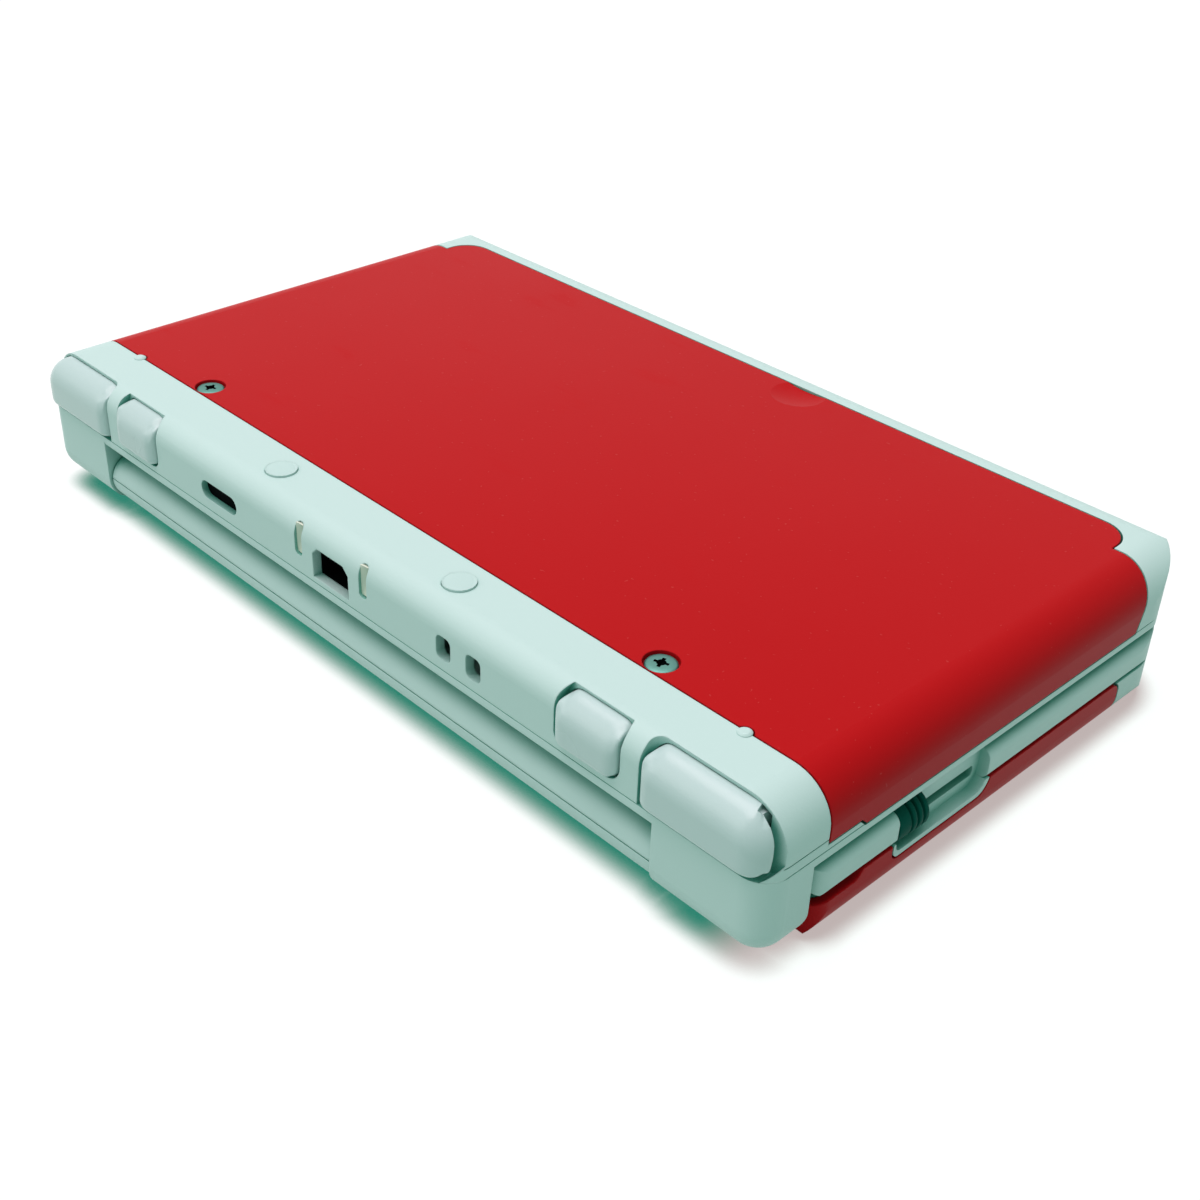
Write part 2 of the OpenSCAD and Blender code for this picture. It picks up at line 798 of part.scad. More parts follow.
module depth_slider() {
    color(teal) slider_knob_at(slot_y0 + 0.15);
}

module volume_slider() {
    color(teal) mirror([1, 0, 0]) slider_knob_at(slot_y0 + 0.15);
}

// ---------- base: casings ----------

module base_cover() {
    dimple_r = 20;
    color(red)
        difference() {
            intersection() {
                difference() {
                    base_form();
                    base_form(cover_t, base_z - 1);
                }
                base_cover_zone();
            }
            both_sides()
                translate([screw_x, screw_y, 0]) {
                    cylinder(r = screw_shank_r + 0.3, h = far);
                    translate([0, 0, top_z - 0.7]) cylinder(r = screw_head_r + 0.2, h = 2);
                }
            // shallow thumb dimple at the front edge
            translate([stylus_x - 1, cover_front_y - 2, top_z + dimple_r - 0.4])
                sphere(r = dimple_r, $fn = 64);
            // clearance for the two nubs of the rear band
            both_sides()
                translate([nub_at_x, nub_at_y, split_z])
                    cylinder(r = cover_nub_r + seat_gap, h = far);
        }
}

// Outline of a shoulder control seen from the rear, widened by grow; r holds the radii of its corners
// at [x0 z0, x1 z0, x1 z1, x0 z1]
module shoulder_outline(x0, x1, r, grow = 0, high = shoulder_z1, low = shoulder_z0) {
    round_rect(x0 - grow, low - grow, x1 + grow, high + grow, [for (c = r) c + grow]);
}

// Pocket behind a trigger, open to the rear and cut through the top as far as trigger_lip_y
module trigger_pocket() {
    along_y(-far, pocket_y)
        shoulder_outline(trigger_x0, trigger_x1, trigger_rs, shoulder_gap, shoulder_z1 - 0.15, trigger_z0);
    along_y(-far, trigger_lip_y)
        shoulder_outline(trigger_x0, trigger_x1, trigger_rs, shoulder_gap, top_z + 0.2, trigger_z0);
}

// Pocket behind a shoulder button, open to the rear and the side
module shoulder_pocket() {
    x0 = shoulder_x0 - shoulder_gap;
    high = shoulder_z1 + 0.15;
    intersection() {
        along_y(-far, pocket_y)
            round_rect(x0, split_z - 1, shoulder_step_x + shoulder_gap, high, [0, 0, 0, 2.5]);
        along_y(-far, far)
            round_rect(0, 0, shoulder_x1 + shoulder_gap, high, [0, 0, shoulder_rs[2] + shoulder_gap, 0]);
    }
    // the part cut through the top, with a sill that rises towards the side
    sill_r = 4.6;
    intersection() {
        along_z(split_z - 1, far)
            round_rect(x0, -far, far, shoulder_lip_y, [0, 0, 0, 1.5]);
        along_y(-far, far)
            round_rect(0, split_z - 1, shoulder_x1 + shoulder_gap, far, [0, sill_r, 0, 0]);
    }
}

module rear_housing() {
    well_x0 = battery_x - well_gap - well_wall;
    well_x1 = battery_x + battery_w + well_gap + well_wall;
    well_y0 = battery_y - well_gap - well_wall;
    well_y1 = battery_y + battery_d + well_gap + well_wall;
    color(mint)
        difference() {
            union() {
                difference() {
                    union() {
                        difference() {
                            base_form(0, split_z);
                            base_cover_zone(seat_gap);
                        }
                        base_form(cover_t + seat_gap, split_z);
                    }
                    base_hollow();
                }
                // corner blocks behind the outer ends of the shoulder buttons
                both_sides()
                    intersection() {
                        base_form(0.6, split_z);
                        box(shoulder_step_x - 0.5, -half_d, split_z, half_w, shoulder_lip_y + 1.5, top_z);
                    }
                // battery well
                box(well_x0, well_y0, board_z, well_x1, well_y1, deck_in + 0.1);
                // bosses of the cover screws
                both_sides()
                    translate([screw_x, screw_y, board_top + 0.1])
                        cylinder(r = screw_boss_r, h = deck_in - board_top);
                // nubs beside the cover's rear corners
                both_sides()
                    translate([nub_at_x, nub_at_y, top_z - cover_t - 0.3]) {
                        cylinder(r = cover_nub_r, h = cover_t + 0.35);
                        translate([0, 0, cover_t + 0.35])
                            cylinder(r1 = cover_nub_r, r2 = cover_nub_r - 0.3, h = 0.2);
                    }
            }
            box(well_x0 + well_wall, well_y0 + well_wall, board_z + well_floor,
                well_x1 - well_wall, well_y1 - well_wall, far);
            both_sides() {
                translate([screw_x, screw_y, 0]) cylinder(r = screw_shank_r, h = far);
                shoulder_pocket();
                trigger_pocket();
                // seats of the rubber feet
                translate([foot_x, foot_y, top_z - 0.6]) cylinder(r = foot_r + 0.05, h = 2);
                // fine parting line on the side
                box(half_w - seam_groove, -half_d, split_z + 1.4, far, cover_rear_y, split_z + 1.4 + seam_groove);
            }
            // charging port, its contacts and the infrared window
            along_y(-far, -half_d + 7) port_outline(0.05);
            box(port_x - port_w / 2 - 0.55, -half_d + wall_t, port_z - port_h / 2 - 0.55,
                port_x + port_w / 2 + 0.55, -half_d + 7, port_z + port_h / 2 + 0.55);
            for (side = [-1, 1])
                along_y(-far, -half_d + 3)
                    round_rect(port_x + side * contact_x - 0.75, contact_z - 2.25,
                               port_x + side * contact_x + 0.75, contact_z + 2.25, [0.6, 0.6, 0.6, 0.6]);
            along_y(-far, -half_d + 3)
                translate([ir_x, ir_z]) pill(8.2, 2.6);
            // strap bar: two holes into one hollow
            for (side = [-1, 1])
                along_y(-far, -half_d + 3)
                    round_rect(strap_x + side * strap_pitch / 2 - 1.3, strap_z - 1.6,
                               strap_x + side * strap_pitch / 2 + 1.3, strap_z + 1.6, [0.8, 0.8, 0.8, 0.8]);
            // front edge: game card, headphones, stylus, power button and lights
            box(card_x, cage_y, card_z0, card_x + card_w, far, card_z1);
            box(card_x - cage_t, cage_y - cage_t, board_z, card_x + card_w + cage_t, inner_y, card_z1 + cage_t);
            translate([0, half_d - 4.2, jack_z]) rotate([-90, 0, 0]) cylinder(r = jack_r + 0.9, h = 9);
            translate([stylus_x, stylus_end_y, stylus_z]) rotate([-90, 0, 0]) cylinder(r = stylus_r + stylus_gap, h = far);
            box(stylus_x - 2, half_d - 1.6, stylus_z, stylus_x + 2, far, far);
            along_y(half_d - 4, far)
                translate([power_x, jack_z]) pill(8.4, 3.2);
            for (i = [0 : 1])
                box(light_x - 1.2 + light_pitch * i, half_d - 4, jack_z - 0.8,
                    light_x + 1.2 + light_pitch * i, far, jack_z + 0.8);
            // memory card under the cover
            box(memory_x0, memory_y0, deck_in - 1, memory_x0 + 16, memory_y0 + 12, far);
        }
}

// Ear of the hinge with a rounded outer end, carried on up into the base
module hinge_ear() {
    end_r = min(rear_corner_r, ear_r - 0.1);
    translate([ear_x, hinge_y, hinge_z])
        rotate([0, 90, 0])
            rotate_extrude()
                round_rect(0, 0, ear_r, ear_w, [0, 0, end_r, 0]);
    along_z(hinge_z, base_z + 1)
        round_rect(ear_x, hinge_y - ear_r, half_w, hinge_y + ear_r, [0, end_r, 0, 0]);
    intersection() {
        on_hinge(ear_x, half_w, ear_r);
        along_y(hinge_y, hinge_y + ear_r)
            round_rect(ear_x, hinge_z - ear_r, half_w, base_z, [0, end_r, 0, 0]);
    }
}

module control_housing() {
    hole_x = lower_view_w / 2 + 0.6;
    hole_y = lower_view_h / 2 + 0.6;
    color(mint)
        difference() {
            union() {
                difference() {
                    intersection() {
                        base_form();
                        box(-far, -far, 0, far, far, split_z);
                    }
                    base_cover_zone(seat_gap);
                    box(-inner_x, -inner_y + 4, face_in, inner_x, inner_y - 4, far);
                    box(-inner_x + 8, -inner_y, face_in, inner_x - 8, inner_y, far);
                }
                both_sides()
                    hinge_ear();
                // posts that carry the main board
                for (x = [-base_screw_x, base_screw_x])
                    for (y = base_screw_ys)
                        translate([x, y, face_in - 0.1]) cylinder(r = 1.5, h = board_z - face_in + 0.1);
            }
            both_sides()
                on_hinge(ear_x - 1, ear_x + pin_in_ear + 0.3, pin_r + pin_fit);
            // screen window
            box(-hole_x, lower_view_y - hole_y, 0, hole_x, lower_view_y + hole_y, far);
            // face buttons and pills
            for (i = [0 : 3])
                translate([face_button_at(i)[0], face_button_at(i)[1], base_z - 1]) cylinder(r = button_r + button_gap, h = 3);
            for (y = [start_y, select_y])
                along_z(base_z - 1, face_in + 1)
                    translate([pill_x, y]) pill(7 + 2 * button_gap, 3.4 + 2 * button_gap);
            along_z(base_z - 1, face_in + 1)
                translate([0, home_y]) pill(11 + 2 * button_gap, 4 + 2 * button_gap);
            // circle pad, direction pad and nub
            translate([pad_x, pad_y, base_z - 1]) cylinder(r = pad_r + pad_travel * sqrt(2) + 0.15, h = 3);
            along_z(base_z - 1, face_in + 1)
                translate([pad_x, cross_y]) cross_outline(0.4);
            translate([nub_x, nub_y, base_z - 1]) cylinder(r = 3.7, h = 3);
            // microphone
            translate([9, home_y, base_z - 1]) cylinder(r = 0.6, h = 3);
            // screw holes of the base
            for (x = [-base_screw_x, base_screw_x])
                for (y = base_screw_ys)
                    translate([x, y, face_in + 0.4]) cylinder(r = 0.75, h = 9);
        }
}

module cover_screws() {
    color(steel)
        both_sides()
            translate([screw_x, screw_y, 0])
                difference() {
                    union() {
                        translate([0, 0, top_z - 0.7]) cylinder(r = screw_head_r, h = 0.6);
                        translate([0, 0, board_top + 0.3])
                            cylinder(r = screw_shank_r - 0.01, h = top_z - 0.7 - board_top - 0.3);
                    }
                    // cross recess
                    translate([0, 0, top_z]) {
                        cube([2, 0.55, 0.9], center = true);
                        cube([0.55, 2, 0.9], center = true);
                    }
                }
}

module rubber_feet() {
    color(mint)
        both_sides()
            translate([foot_x, foot_y, top_z - 0.6])
                cylinder(r = foot_r, h = 0.6 + foot_proud);
}

// ---------- base: what it holds ----------

module battery() {
    color([0.25, 0.27, 0.28])
        along_z(board_z + well_floor + slip, board_z + well_floor + slip + battery_t)
            round_rect(battery_x, battery_y, battery_x + battery_w, battery_y + battery_d, [1, 1, 1, 1]);
}

module main_board() {
    well_x0 = battery_x - well_gap - well_wall - 0.3;
    well_x1 = battery_x + battery_w + well_gap + well_wall + 0.3;
    well_y0 = battery_y - well_gap - well_wall - 0.3;
    color(green_board)
        difference() {
            along_z(board_z, board_top)
                round_rect(-inner_x + 0.4, pocket_y + 0.4, inner_x - 0.4, half_d - 5, [1, 1, 5, 5]);
            box(well_x0, well_y0, 0, well_x1, cage_y + 2, far);
            box(card_x - cage_t - 0.2, cage_y - cage_t - 0.2, 0, card_x + card_w + cage_t + 0.2, far, far);
            // room for the charging socket, the stylus and the card slot
            box(port_x - port_w / 2 - 0.8, -far, 0, port_x + port_w / 2 + 0.8, -half_d + 8, far);
            box(stylus_x - sleeve_r - 0.2, stylus_end_y - 1, 0, stylus_x + sleeve_r + 0.2, far, far);
            box(-3.7, half_d - 13.8, 0, 3.7, far, far);
            for (x = [-base_screw_x, base_screw_x])
                for (y = base_screw_ys)
                    translate([x, y, 0]) cylinder(r = 0.9, h = far);
        }
    // chips
    color(black) {
        box(22, -12, board_top, 34, 0, board_top + 1.2);
        box(24, 6, board_top, 32, 13, board_top + 1);
        box(-66, -2, board_top, -56, 8, board_top + 1);
    }
}

module touch_panel() {
    x = lower_view_w / 2 + panel_margin;
    y = lower_view_h / 2 + panel_margin;
    color(black)
        box(-x, lower_view_y - y, face_in, x, lower_view_y + y, panel_top);
}

module lower_display() {
    x = lower_view_w / 2 + panel_margin + 0.8;
    y = lower_view_h / 2 + panel_margin + 0.3;
    color(black)
        box(-x, lower_view_y - y, panel_top, x, lower_view_y + y, display_top);
}

module charging_socket() {
    tongue_x = 2.4;
    color(black)
        difference() {
            box(port_x - port_w / 2 - 0.5, -half_d + wall_t + slip, port_z - port_h / 2 - 0.5,
                port_x + port_w / 2 + 0.5, -half_d + 7, port_z + port_h / 2 + 0.5);
            difference() {
                along_y(-far, -half_d + 6) port_outline();
                box(port_x - tongue_x, -half_d + 4.6, port_z - 0.5, port_x + tongue_x, far, port_z + 0.5);
            }
        }
}

module charge_contacts() {
    color([0.80, 0.70, 0.45])
        for (side = [-1, 1])
            box(port_x + side * contact_x - 0.4, -half_d + 0.5, contact_z - 2.1,
                port_x + side * contact_x + 0.4, -half_d + 2.9, contact_z + 2.1);
}

module infrared_window() {
    color(black)
        along_y(-half_d + 0.9, -half_d + 2)
            translate([ir_x, ir_z]) pill(8.1, 2.5);
}

module card_slot_cage() {
    color(metal)
        difference() {
            box(card_x - cage_t, cage_y - cage_t, board_z, card_x + card_w + cage_t, inner_y - slip, card_z1 + cage_t);
            box(card_x, cage_y, card_z0, card_x + card_w, far, card_z1);
        }
}

module headphone_socket() {
    color(black)
        difference() {
            union() {
                box(-3.4, half_d - 13.5, board_z + slip, 3.4, half_d - 4.05, deck_in - slip);
                translate([0, half_d - 4.1, jack_z]) rotate([-90, 0, 0]) cylinder(r = jack_r + 0.85, h = 4.1 - 0.1);
            }
            translate([0, half_d - 12.5, jack_z]) rotate([-90, 0, 0]) cylinder(r = jack_r, h = far);
        }
}

module memory_card_socket() {
    color(metal)
        difference() {
            box(memory_x0 + 1, memory_y0 + 0.5, board_top, memory_x0 + 15, memory_y0 + 11.5, board_top + 1.6);
            box(memory_x0 + 2, memory_y0, board_top + 0.3, memory_x0 + 14, memory_y0 + 10.5, board_top + 1.2);
        }
}

module wireless_module() {
    color(metal)
        box(40, -12, board_top, 60, 4, board_top + 1.8);
}

module button_membranes() {
    color([0.45, 0.47, 0.48]) {
        // one sheet under each group, with a dome under every button
        for (i = [0 : 3])
            translate([face_button_at(i)[0], face_button_at(i)[1], membrane_z])
                cylinder(r = 3, h = board_z - membrane_z - 0.3 + slip);
        along_z(board_z - 0.3, board_z - 0.02)
            translate([group_x, group_y]) {
                circle(9);
                square([24, 6], center = true);
                square([6, 24], center = true);
            }
        for (y = [start_y, select_y])
            translate([pill_x, y, membrane_z]) cylinder(r = 1.5, h = board_z - membrane_z - 0.02);
        translate([0, home_y, membrane_z]) cylinder(r = 1.5, h = board_z - membrane_z - 0.02);
        // four pads under the direction pad
        for (a = [0 : 90 : 270])
            translate([pad_x + 7 * cos(a), cross_y + 7 * sin(a), board_z - 0.25]) cylinder(r = 2, h = 0.23);
    }
}

module shoulder_switches() {
    color(black)
        both_sides() {
            box(shoulder_x0 + 4, pocket_y + 0.5, board_top, shoulder_x0 + 10, pocket_y + 3, board_top + 2.6);
            box(trigger_x0 + 1.5, pocket_y + 0.5, board_top, trigger_x1 - 1.5, pocket_y + 3, board_top + 2.6);
        }
}

module shoulder_pins() {
    color(metal)
        both_sides()
            translate([shoulder_pin_x, shoulder_pin_y, split_z])
                cylinder(r = shoulder_pin_r, h = shoulder_z1 - 1.8 - split_z);
}

module circle_pad_base() {
    z0 = board_z - 0.9;
    color(black)
        difference() {
            along_z(z0, board_z - 0.02)
                translate([pad_x, pad_y]) round_rect(-11, -11, 11, 11, [2, 2, 2, 2]);
            translate([pad_x, pad_y, z0 - 1]) cylinder(r = 6, h = 1.5);
        }
}

module right_nub_stick() {
    color([0.62, 0.66, 0.67])
        translate([nub_x, nub_y, 0]) {
            translate([0, 0, button_tip + 0.1]) cylinder(r = 3.3, h = face_in - button_tip);
            translate([0, 0, face_in + 0.05]) cylinder(r = 4.4, h = 0.6);
            translate([0, 0, face_in + 0.6]) cylinder(r = 1.2, h = board_z - face_in - 0.62);
        }
}

module status_light_pipes() {
    color([0.75, 0.80, 0.80])
        for (i = [0 : 1])
            box(light_x - 1.1 + light_pitch * i, half_d - 4.5, jack_z - 0.7,
                light_x + 1.1 + light_pitch * i, half_d - 0.1, jack_z + 0.7);
}

module base_screws() {
    color(steel)
        for (x = [-base_screw_x, base_screw_x])
            for (y = base_screw_ys)
                translate([x, y, 0]) {
                    translate([0, 0, face_in + 0.5]) cylinder(r = 0.75, h = board_top - face_in - 0.5);
                    translate([0, 0, board_top]) cylinder(r = 1.5, h = 0.8);
                }
}

module stylus_sleeve() {
    color(mint)
        translate([stylus_x, stylus_end_y, stylus_z])
            rotate([-90, 0, 0])
                difference() {
                    cylinder(r = sleeve_r, h = inner_y - stylus_end_y - slip);
                    translate([0, 0, 0.6]) cylinder(r = stylus_r + stylus_gap, h = far);
                }
}

module stylus() {
    length = half_d - 0.3 - stylus_end_y - 1;
    color([0.35, 0.38, 0.40])
        translate([stylus_x, stylus_end_y + 1, stylus_z])
            rotate([-90, 0, 0]) {
                cylinder(r1 = 0.6, r2 = stylus_r, h = 4);
                translate([0, 0, 4]) cylinder(r = stylus_r, h = length - 4);
            }
}

// ---------- base: what moves ----------

module right_shoulder_button() {
    wall = 1.1;
    top_wall = 1.5;
    bore_top = shoulder_z1 - top_wall - 0.1;
    color(mint)
        difference() {
            union() {
                difference() {
                    intersection() {
                        along_x(shoulder_x0, shoulder_x1)
                            round_rect(shoulder_y0, shoulder_z0, shoulder_y1, shoulder_z1, [0.8, 0, 0, 3.6]);
                        along_z(shoulder_z0, shoulder_z1)
                            round_rect(shoulder_x0, shoulder_y0, shoulder_x1, shoulder_y1, [1.2, 4.2, 0, 0]);
                        along_y(shoulder_y0, shoulder_y1)
                            shoulder_outline(shoulder_x0, shoulder_x1, shoulder_rs);
                    }
                    box(shoulder_step_x, shoulder_end_y, 0, far, far, far);
                    along_y(shoulder_y0 + 1.4, shoulder_y1 + 1)
                        round_rect(shoulder_x0 + wall, shoulder_z0 + wall, shoulder_step_x - wall, shoulder_z1 - top_wall,
                                   [0, 0, 0.5, 0]);
                }
                // boss of the pivot pin
                translate([shoulder_pin_x, shoulder_pin_y, shoulder_z0 + 0.5])
                    cylinder(r = 1.45, h = bore_top - shoulder_z0);
            }
            translate([shoulder_pin_x, shoulder_pin_y, 0])
                cylinder(r = shoulder_pin_r + 0.06, h = bore_top);
        }
}

module left_shoulder_button() {
    mirror([1, 0, 0]) right_shoulder_button();
}

module right_trigger() {
    wall = 1.3;
    y0 = shoulder_y0 - 0.1;
    y1 = shoulder_y1 - 0.2;
    color(mint)
        difference() {
            intersection() {
                along_x(trigger_x0, trigger_x1)
                    round_rect(y0, trigger_z0, y1, shoulder_z1, [0.8, 0, 0, 3.4]);
                along_z(trigger_z0, shoulder_z1)
                    round_rect(trigger_x0, y0, trigger_x1, y1, [1.5, 1.2, 0, 0]);
                along_y(y0, y1)
                    shoulder_outline(trigger_x0, trigger_x1, trigger_rs, 0, shoulder_z1, trigger_z0);
            }
            along_y(y0 + wall, far)
                shoulder_outline(trigger_x0, trigger_x1, trigger_rs, -wall + 0.4, shoulder_z1, trigger_z0);
        }
}

module left_trigger() {
    mirror([1, 0, 0]) right_trigger();
}

// Round button with its flange under the control face
module face_button(i) {
    at = face_button_at(i);
    color([0.86, 0.90, 0.89])
        translate([at[0], at[1], 0]) {
            translate([0, 0, button_tip]) cylinder(r = button_r, h = flange_z - button_tip);
            translate([0, 0, flange_z]) cylinder(r = button_r + 0.8, h = flange_t);
        }
}

module right_face_button() { face_button(0); }

module far_face_button() { face_button(1); }

module left_face_button() { face_button(2); }

module near_face_button() { face_button(3); }

// Pill-shaped button with its flange
module pill_button(x, y, w, d) {
    color([0.86, 0.90, 0.89]) {
        along_z(button_tip + 0.3, flange_z)
            translate([x, y]) pill(w, d);
        along_z(flange_z, flange_z + flange_t)
            translate([x, y]) pill(w + 1.4, d + 1.4);
    }
}

module start_button() { pill_button(pill_x, start_y, 7, 3.4); }

module select_button() { pill_button(pill_x, select_y, 7, 3.4); }

module home_button() { pill_button(0, home_y, 11, 4); }

module power_button() {
    color([0.86, 0.90, 0.89]) {
        along_y(half_d - 3.2, half_d + 0.2)
            translate([power_x, jack_z]) pill(8, 2.8);
        along_y(half_d - wall_t - 0.85, half_d - wall_t - 0.1)
            translate([power_x, jack_z]) pill(9.4, 3.9);
    }
}

module dpad_pivot() {
    color(metal)
        translate([pad_x, cross_y, cross_pivot_z])
            sphere(r = 0.88);
}

module dpad() {
    color(black)
        translate([pad_x, cross_y, 0])
            difference() {
                union() {
                    along_z(base_z - cross_proud, face_in + 1) cross_outline();
                    translate([0, 0, face_in + 0.95]) cylinder(r = cross_w / 2 + 0.7, h = 0.3);
                }
                translate([0, 0, cross_pivot_z]) sphere(r = 0.98);
                // shallow dish in the middle of the cross
                translate([0, 0, base_z - cross_proud - 7.8]) sphere(r = 8);
            }
}

module circle_pad_slider() {
    z0 = flange_z + flange_t + 0.1;
    color([0.3, 0.32, 0.33])
        along_z(z0, board_z - 0.95)
            translate([pad_x, pad_y])
                difference() {
                    square([10, 13], center = true);
                    square([4.2, 4.2 + 2 * pad_travel], center = true);
                }
}

module circle_pad_cap() {
    color([0.62, 0.66, 0.67])
        translate([pad_x, pad_y, 0])
            difference() {
                union() {
                    translate([0, 0, button_tip]) cylinder(r = pad_r, h = flange_z - button_tip);
                    translate([0, 0, flange_z]) cylinder(r = 11.4, h = flange_t);
                    translate([0, 0, flange_z]) cylinder(r = 2, h = board_z - 1.1 - flange_z);
                }
                // dish for the thumb
                translate([0, 0, button_tip - 29.4]) sphere(r = 30, $fn = 64);
            }
}

lid_cover();
lid_outer_housing();
lid_inner_housing();
upper_screen_glass();
upper_display();
speakers();
outer_camera_lenses();
camera_module();
inner_camera_lens();
lid_board();
hinge_pins();
hinge_clutch();
lid_bumpers();
lid_screws();
display_ribbon();
slider_boards();
depth_slider();
volume_slider();
base_cover();
rear_housing();
control_housing();
cover_screws();
rubber_feet();
battery();
main_board();
touch_panel();
lower_display();
charging_socket();
charge_contacts();
infrared_window();
card_slot_cage();
headphone_socket();
memory_card_socket();
wireless_module();
button_membranes();
shoulder_switches();
shoulder_pins();
circle_pad_base();
right_nub_stick();
status_light_pipes();
base_screws();
stylus_sleeve();
stylus();
right_shoulder_button();
left_shoulder_button();
right_trigger();
left_trigger();
right_face_button();
left_face_button();
near_face_button();
far_face_button();
start_button();
select_button();
home_button();
power_button();
dpad_pivot();
dpad();
circle_pad_slider();
circle_pad_cap();
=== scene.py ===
"""Clamshell handheld game console, closed and lying on its lid.

Each operator models or finishes one group of pieces on the console's fixed
frame, and the last one sets up the studio. Lengths are metres.
"""

import math

import bmesh
import bpy
from bpy.props import FloatProperty, FloatVectorProperty, PointerProperty
from mathutils import Matrix, Vector


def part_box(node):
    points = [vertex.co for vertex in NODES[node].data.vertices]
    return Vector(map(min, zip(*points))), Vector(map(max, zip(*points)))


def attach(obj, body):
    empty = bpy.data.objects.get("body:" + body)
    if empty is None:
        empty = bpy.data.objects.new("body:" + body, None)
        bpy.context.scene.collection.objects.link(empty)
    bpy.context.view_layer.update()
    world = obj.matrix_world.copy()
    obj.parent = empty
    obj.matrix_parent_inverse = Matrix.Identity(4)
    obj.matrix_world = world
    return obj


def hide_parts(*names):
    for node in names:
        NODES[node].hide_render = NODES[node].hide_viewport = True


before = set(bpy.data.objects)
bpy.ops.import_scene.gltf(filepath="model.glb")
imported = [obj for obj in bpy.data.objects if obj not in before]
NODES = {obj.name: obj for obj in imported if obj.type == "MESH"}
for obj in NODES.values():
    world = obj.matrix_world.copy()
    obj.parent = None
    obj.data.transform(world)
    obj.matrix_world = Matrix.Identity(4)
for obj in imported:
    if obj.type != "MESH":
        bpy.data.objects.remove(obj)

bl_info = {
    "name": "Clamshell Handheld Console",
    "version": (1, 0, 0),
    "blender": (4, 5, 0),
    "location": "View3D > Sidebar > Console",
    "description": "Models and finishes a closed clamshell handheld game console",
    "category": "Add Mesh",
}

MM = 0.001
X, Y, Z = range(3)
UP = Vector((0.0, 0.0, 1.0))
SIDES = ("right", "left")
WELD = 1e-7  # points closer together than this become one


# ---------- settings ----------


def colour(name, description, value):
    """A colour setting, in linear values."""
    return FloatVectorProperty(
        name=name, description=description, subtype="COLOR", size=3, min=0.0, max=1.0, default=value
    )


def length(name, description, value):
    """A length setting, in metres."""
    return FloatProperty(
        name=name, description=description, unit="LENGTH", min=0.0, precision=5, default=value
    )


class ConsoleColours(bpy.types.PropertyGroup):
    """Colours of the console's plastics, metals and screens."""

    cover: colour("Covers", "Satin plastic of the two covers", (0.560, 0.006, 0.009))
    housing: colour("Housings", "Matt plastic of the housings", (0.640, 0.790, 0.765))
    # Painted shade: the housing's colour is darkened to this teal deep in gaps, where little light
    # gets in.
    housing_painted_shade: colour(
        "Housing painted shade", "Housing plastic where little light gets in", (0.085, 0.400, 0.310)
    )
    slider: colour("Sliders", "Matt plastic of the two sliders", (0.001, 0.085, 0.062))
    button: colour(
        "Shoulder buttons", "Smooth plastic of the shoulder buttons", (0.610, 0.730, 0.725)
    )
    key: colour("Keys", "Semi-gloss plastic of the buttons", (0.700, 0.800, 0.780))
    dark: colour(
        "Dark plastic", "Plastic of sockets and the direction pad", (0.018, 0.020, 0.021)
    )
    # This near-black also fills the screws' cross recesses as painted shade.
    socket: colour(
        "Sockets", "Plastic deep in the sockets of the rear side", (0.001, 0.002, 0.002)
    )
    glass: colour("Screens", "Black glass of the screens", (0.008, 0.009, 0.010))
    picture: colour("Picture areas", "The screens where a picture shows", (0.022, 0.026, 0.029))
    stick: colour(
        "Circle pad", "Matt plastic of the circle pad and the small stick", (0.300, 0.340, 0.350)
    )
    pen: colour("Stylus", "Plastic of the stylus", (0.180, 0.210, 0.220))
    screw: colour("Screws", "Plated steel of the screws", (0.110, 0.270, 0.230))
    steel: colour("Steel", "Plain steel of pins, cages and shields", (0.560, 0.580, 0.580))
    contact: colour(
        "Contacts", "Pale plated contacts beside the charging port", (0.800, 0.800, 0.680)
    )
    board: colour("Circuit boards", "Solder mask of the circuit boards", (0.010, 0.100, 0.045))


class ConsoleSizes(bpy.types.PropertyGroup):
    """Sizes of the console's fine details."""

    edge: length("Edge softness", "Radius of the moulded edges", 0.25 * MM)
    shoulder_wrap: length(
        "Shoulder wrap", "Radius with which a shoulder button wraps round its corner", 3.2 * MM
    )
    shoulder_sweep: length(
        "Shoulder sweep", "Radius of a shoulder button's top edge at the side", 4.4 * MM
    )
    shoulder_reach: length(
        "Shoulder reach", "How far a shoulder button goes on round its corner", 4.2 * MM
    )
    shoulder_crown: length(
        "Shoulder crown", "Radius of a shoulder button's top edge at the rear", 3.6 * MM
    )
    rib_depth: length("Rib depth", "Depth of the grooves between a slider's ribs", 0.45 * MM)
    grain: length("Grain", "Size of the plastic's moulded grain", 0.35 * MM)
    # Reach of the painted shade: how far into a gap the housing's colour is darkened.
    recess: length("Painted shade reach", "How deep into a gap the housing's colour deepens", 4.0 * MM)
    floor: length("Floor", "Side of the floor", 6.0)


# ---------- shader maths ----------


class Wire:
    """A shader socket that takes part in arithmetic."""

    def __init__(self, graph, socket):
        self.graph = graph
        self.socket = socket

    def _math(self, operation, *values):
        return self.graph.node("ShaderNodeMath", {"operation": operation}, dict(enumerate(values)))

    def __add__(self, other):
        return self._math("ADD", self, other)

    __radd__ = __add__

    def __sub__(self, other):
        return self._math("SUBTRACT", self, other)

    def __rsub__(self, other):
        return self._math("SUBTRACT", other, self)

    def __mul__(self, other):
        return self._math("MULTIPLY", self, other)

    __rmul__ = __mul__

    def least(self, other):
        """The smaller of the two."""
        return self._math("MINIMUM", self, other)

    def most(self, other):
        """The larger of the two."""
        return self._math("MAXIMUM", self, other)

    def size(self):
        """The value without its sign."""
        return self.most(self * -1.0)

    def step(self, low, high):
        """0 below low, 1 above high, smooth in between."""
        return self.graph.node(
            "ShaderNodeMapRange",
            {"interpolation_type": "SMOOTHSTEP"},
            {"Value": self, "From Min": low, "From Max": high},
        )


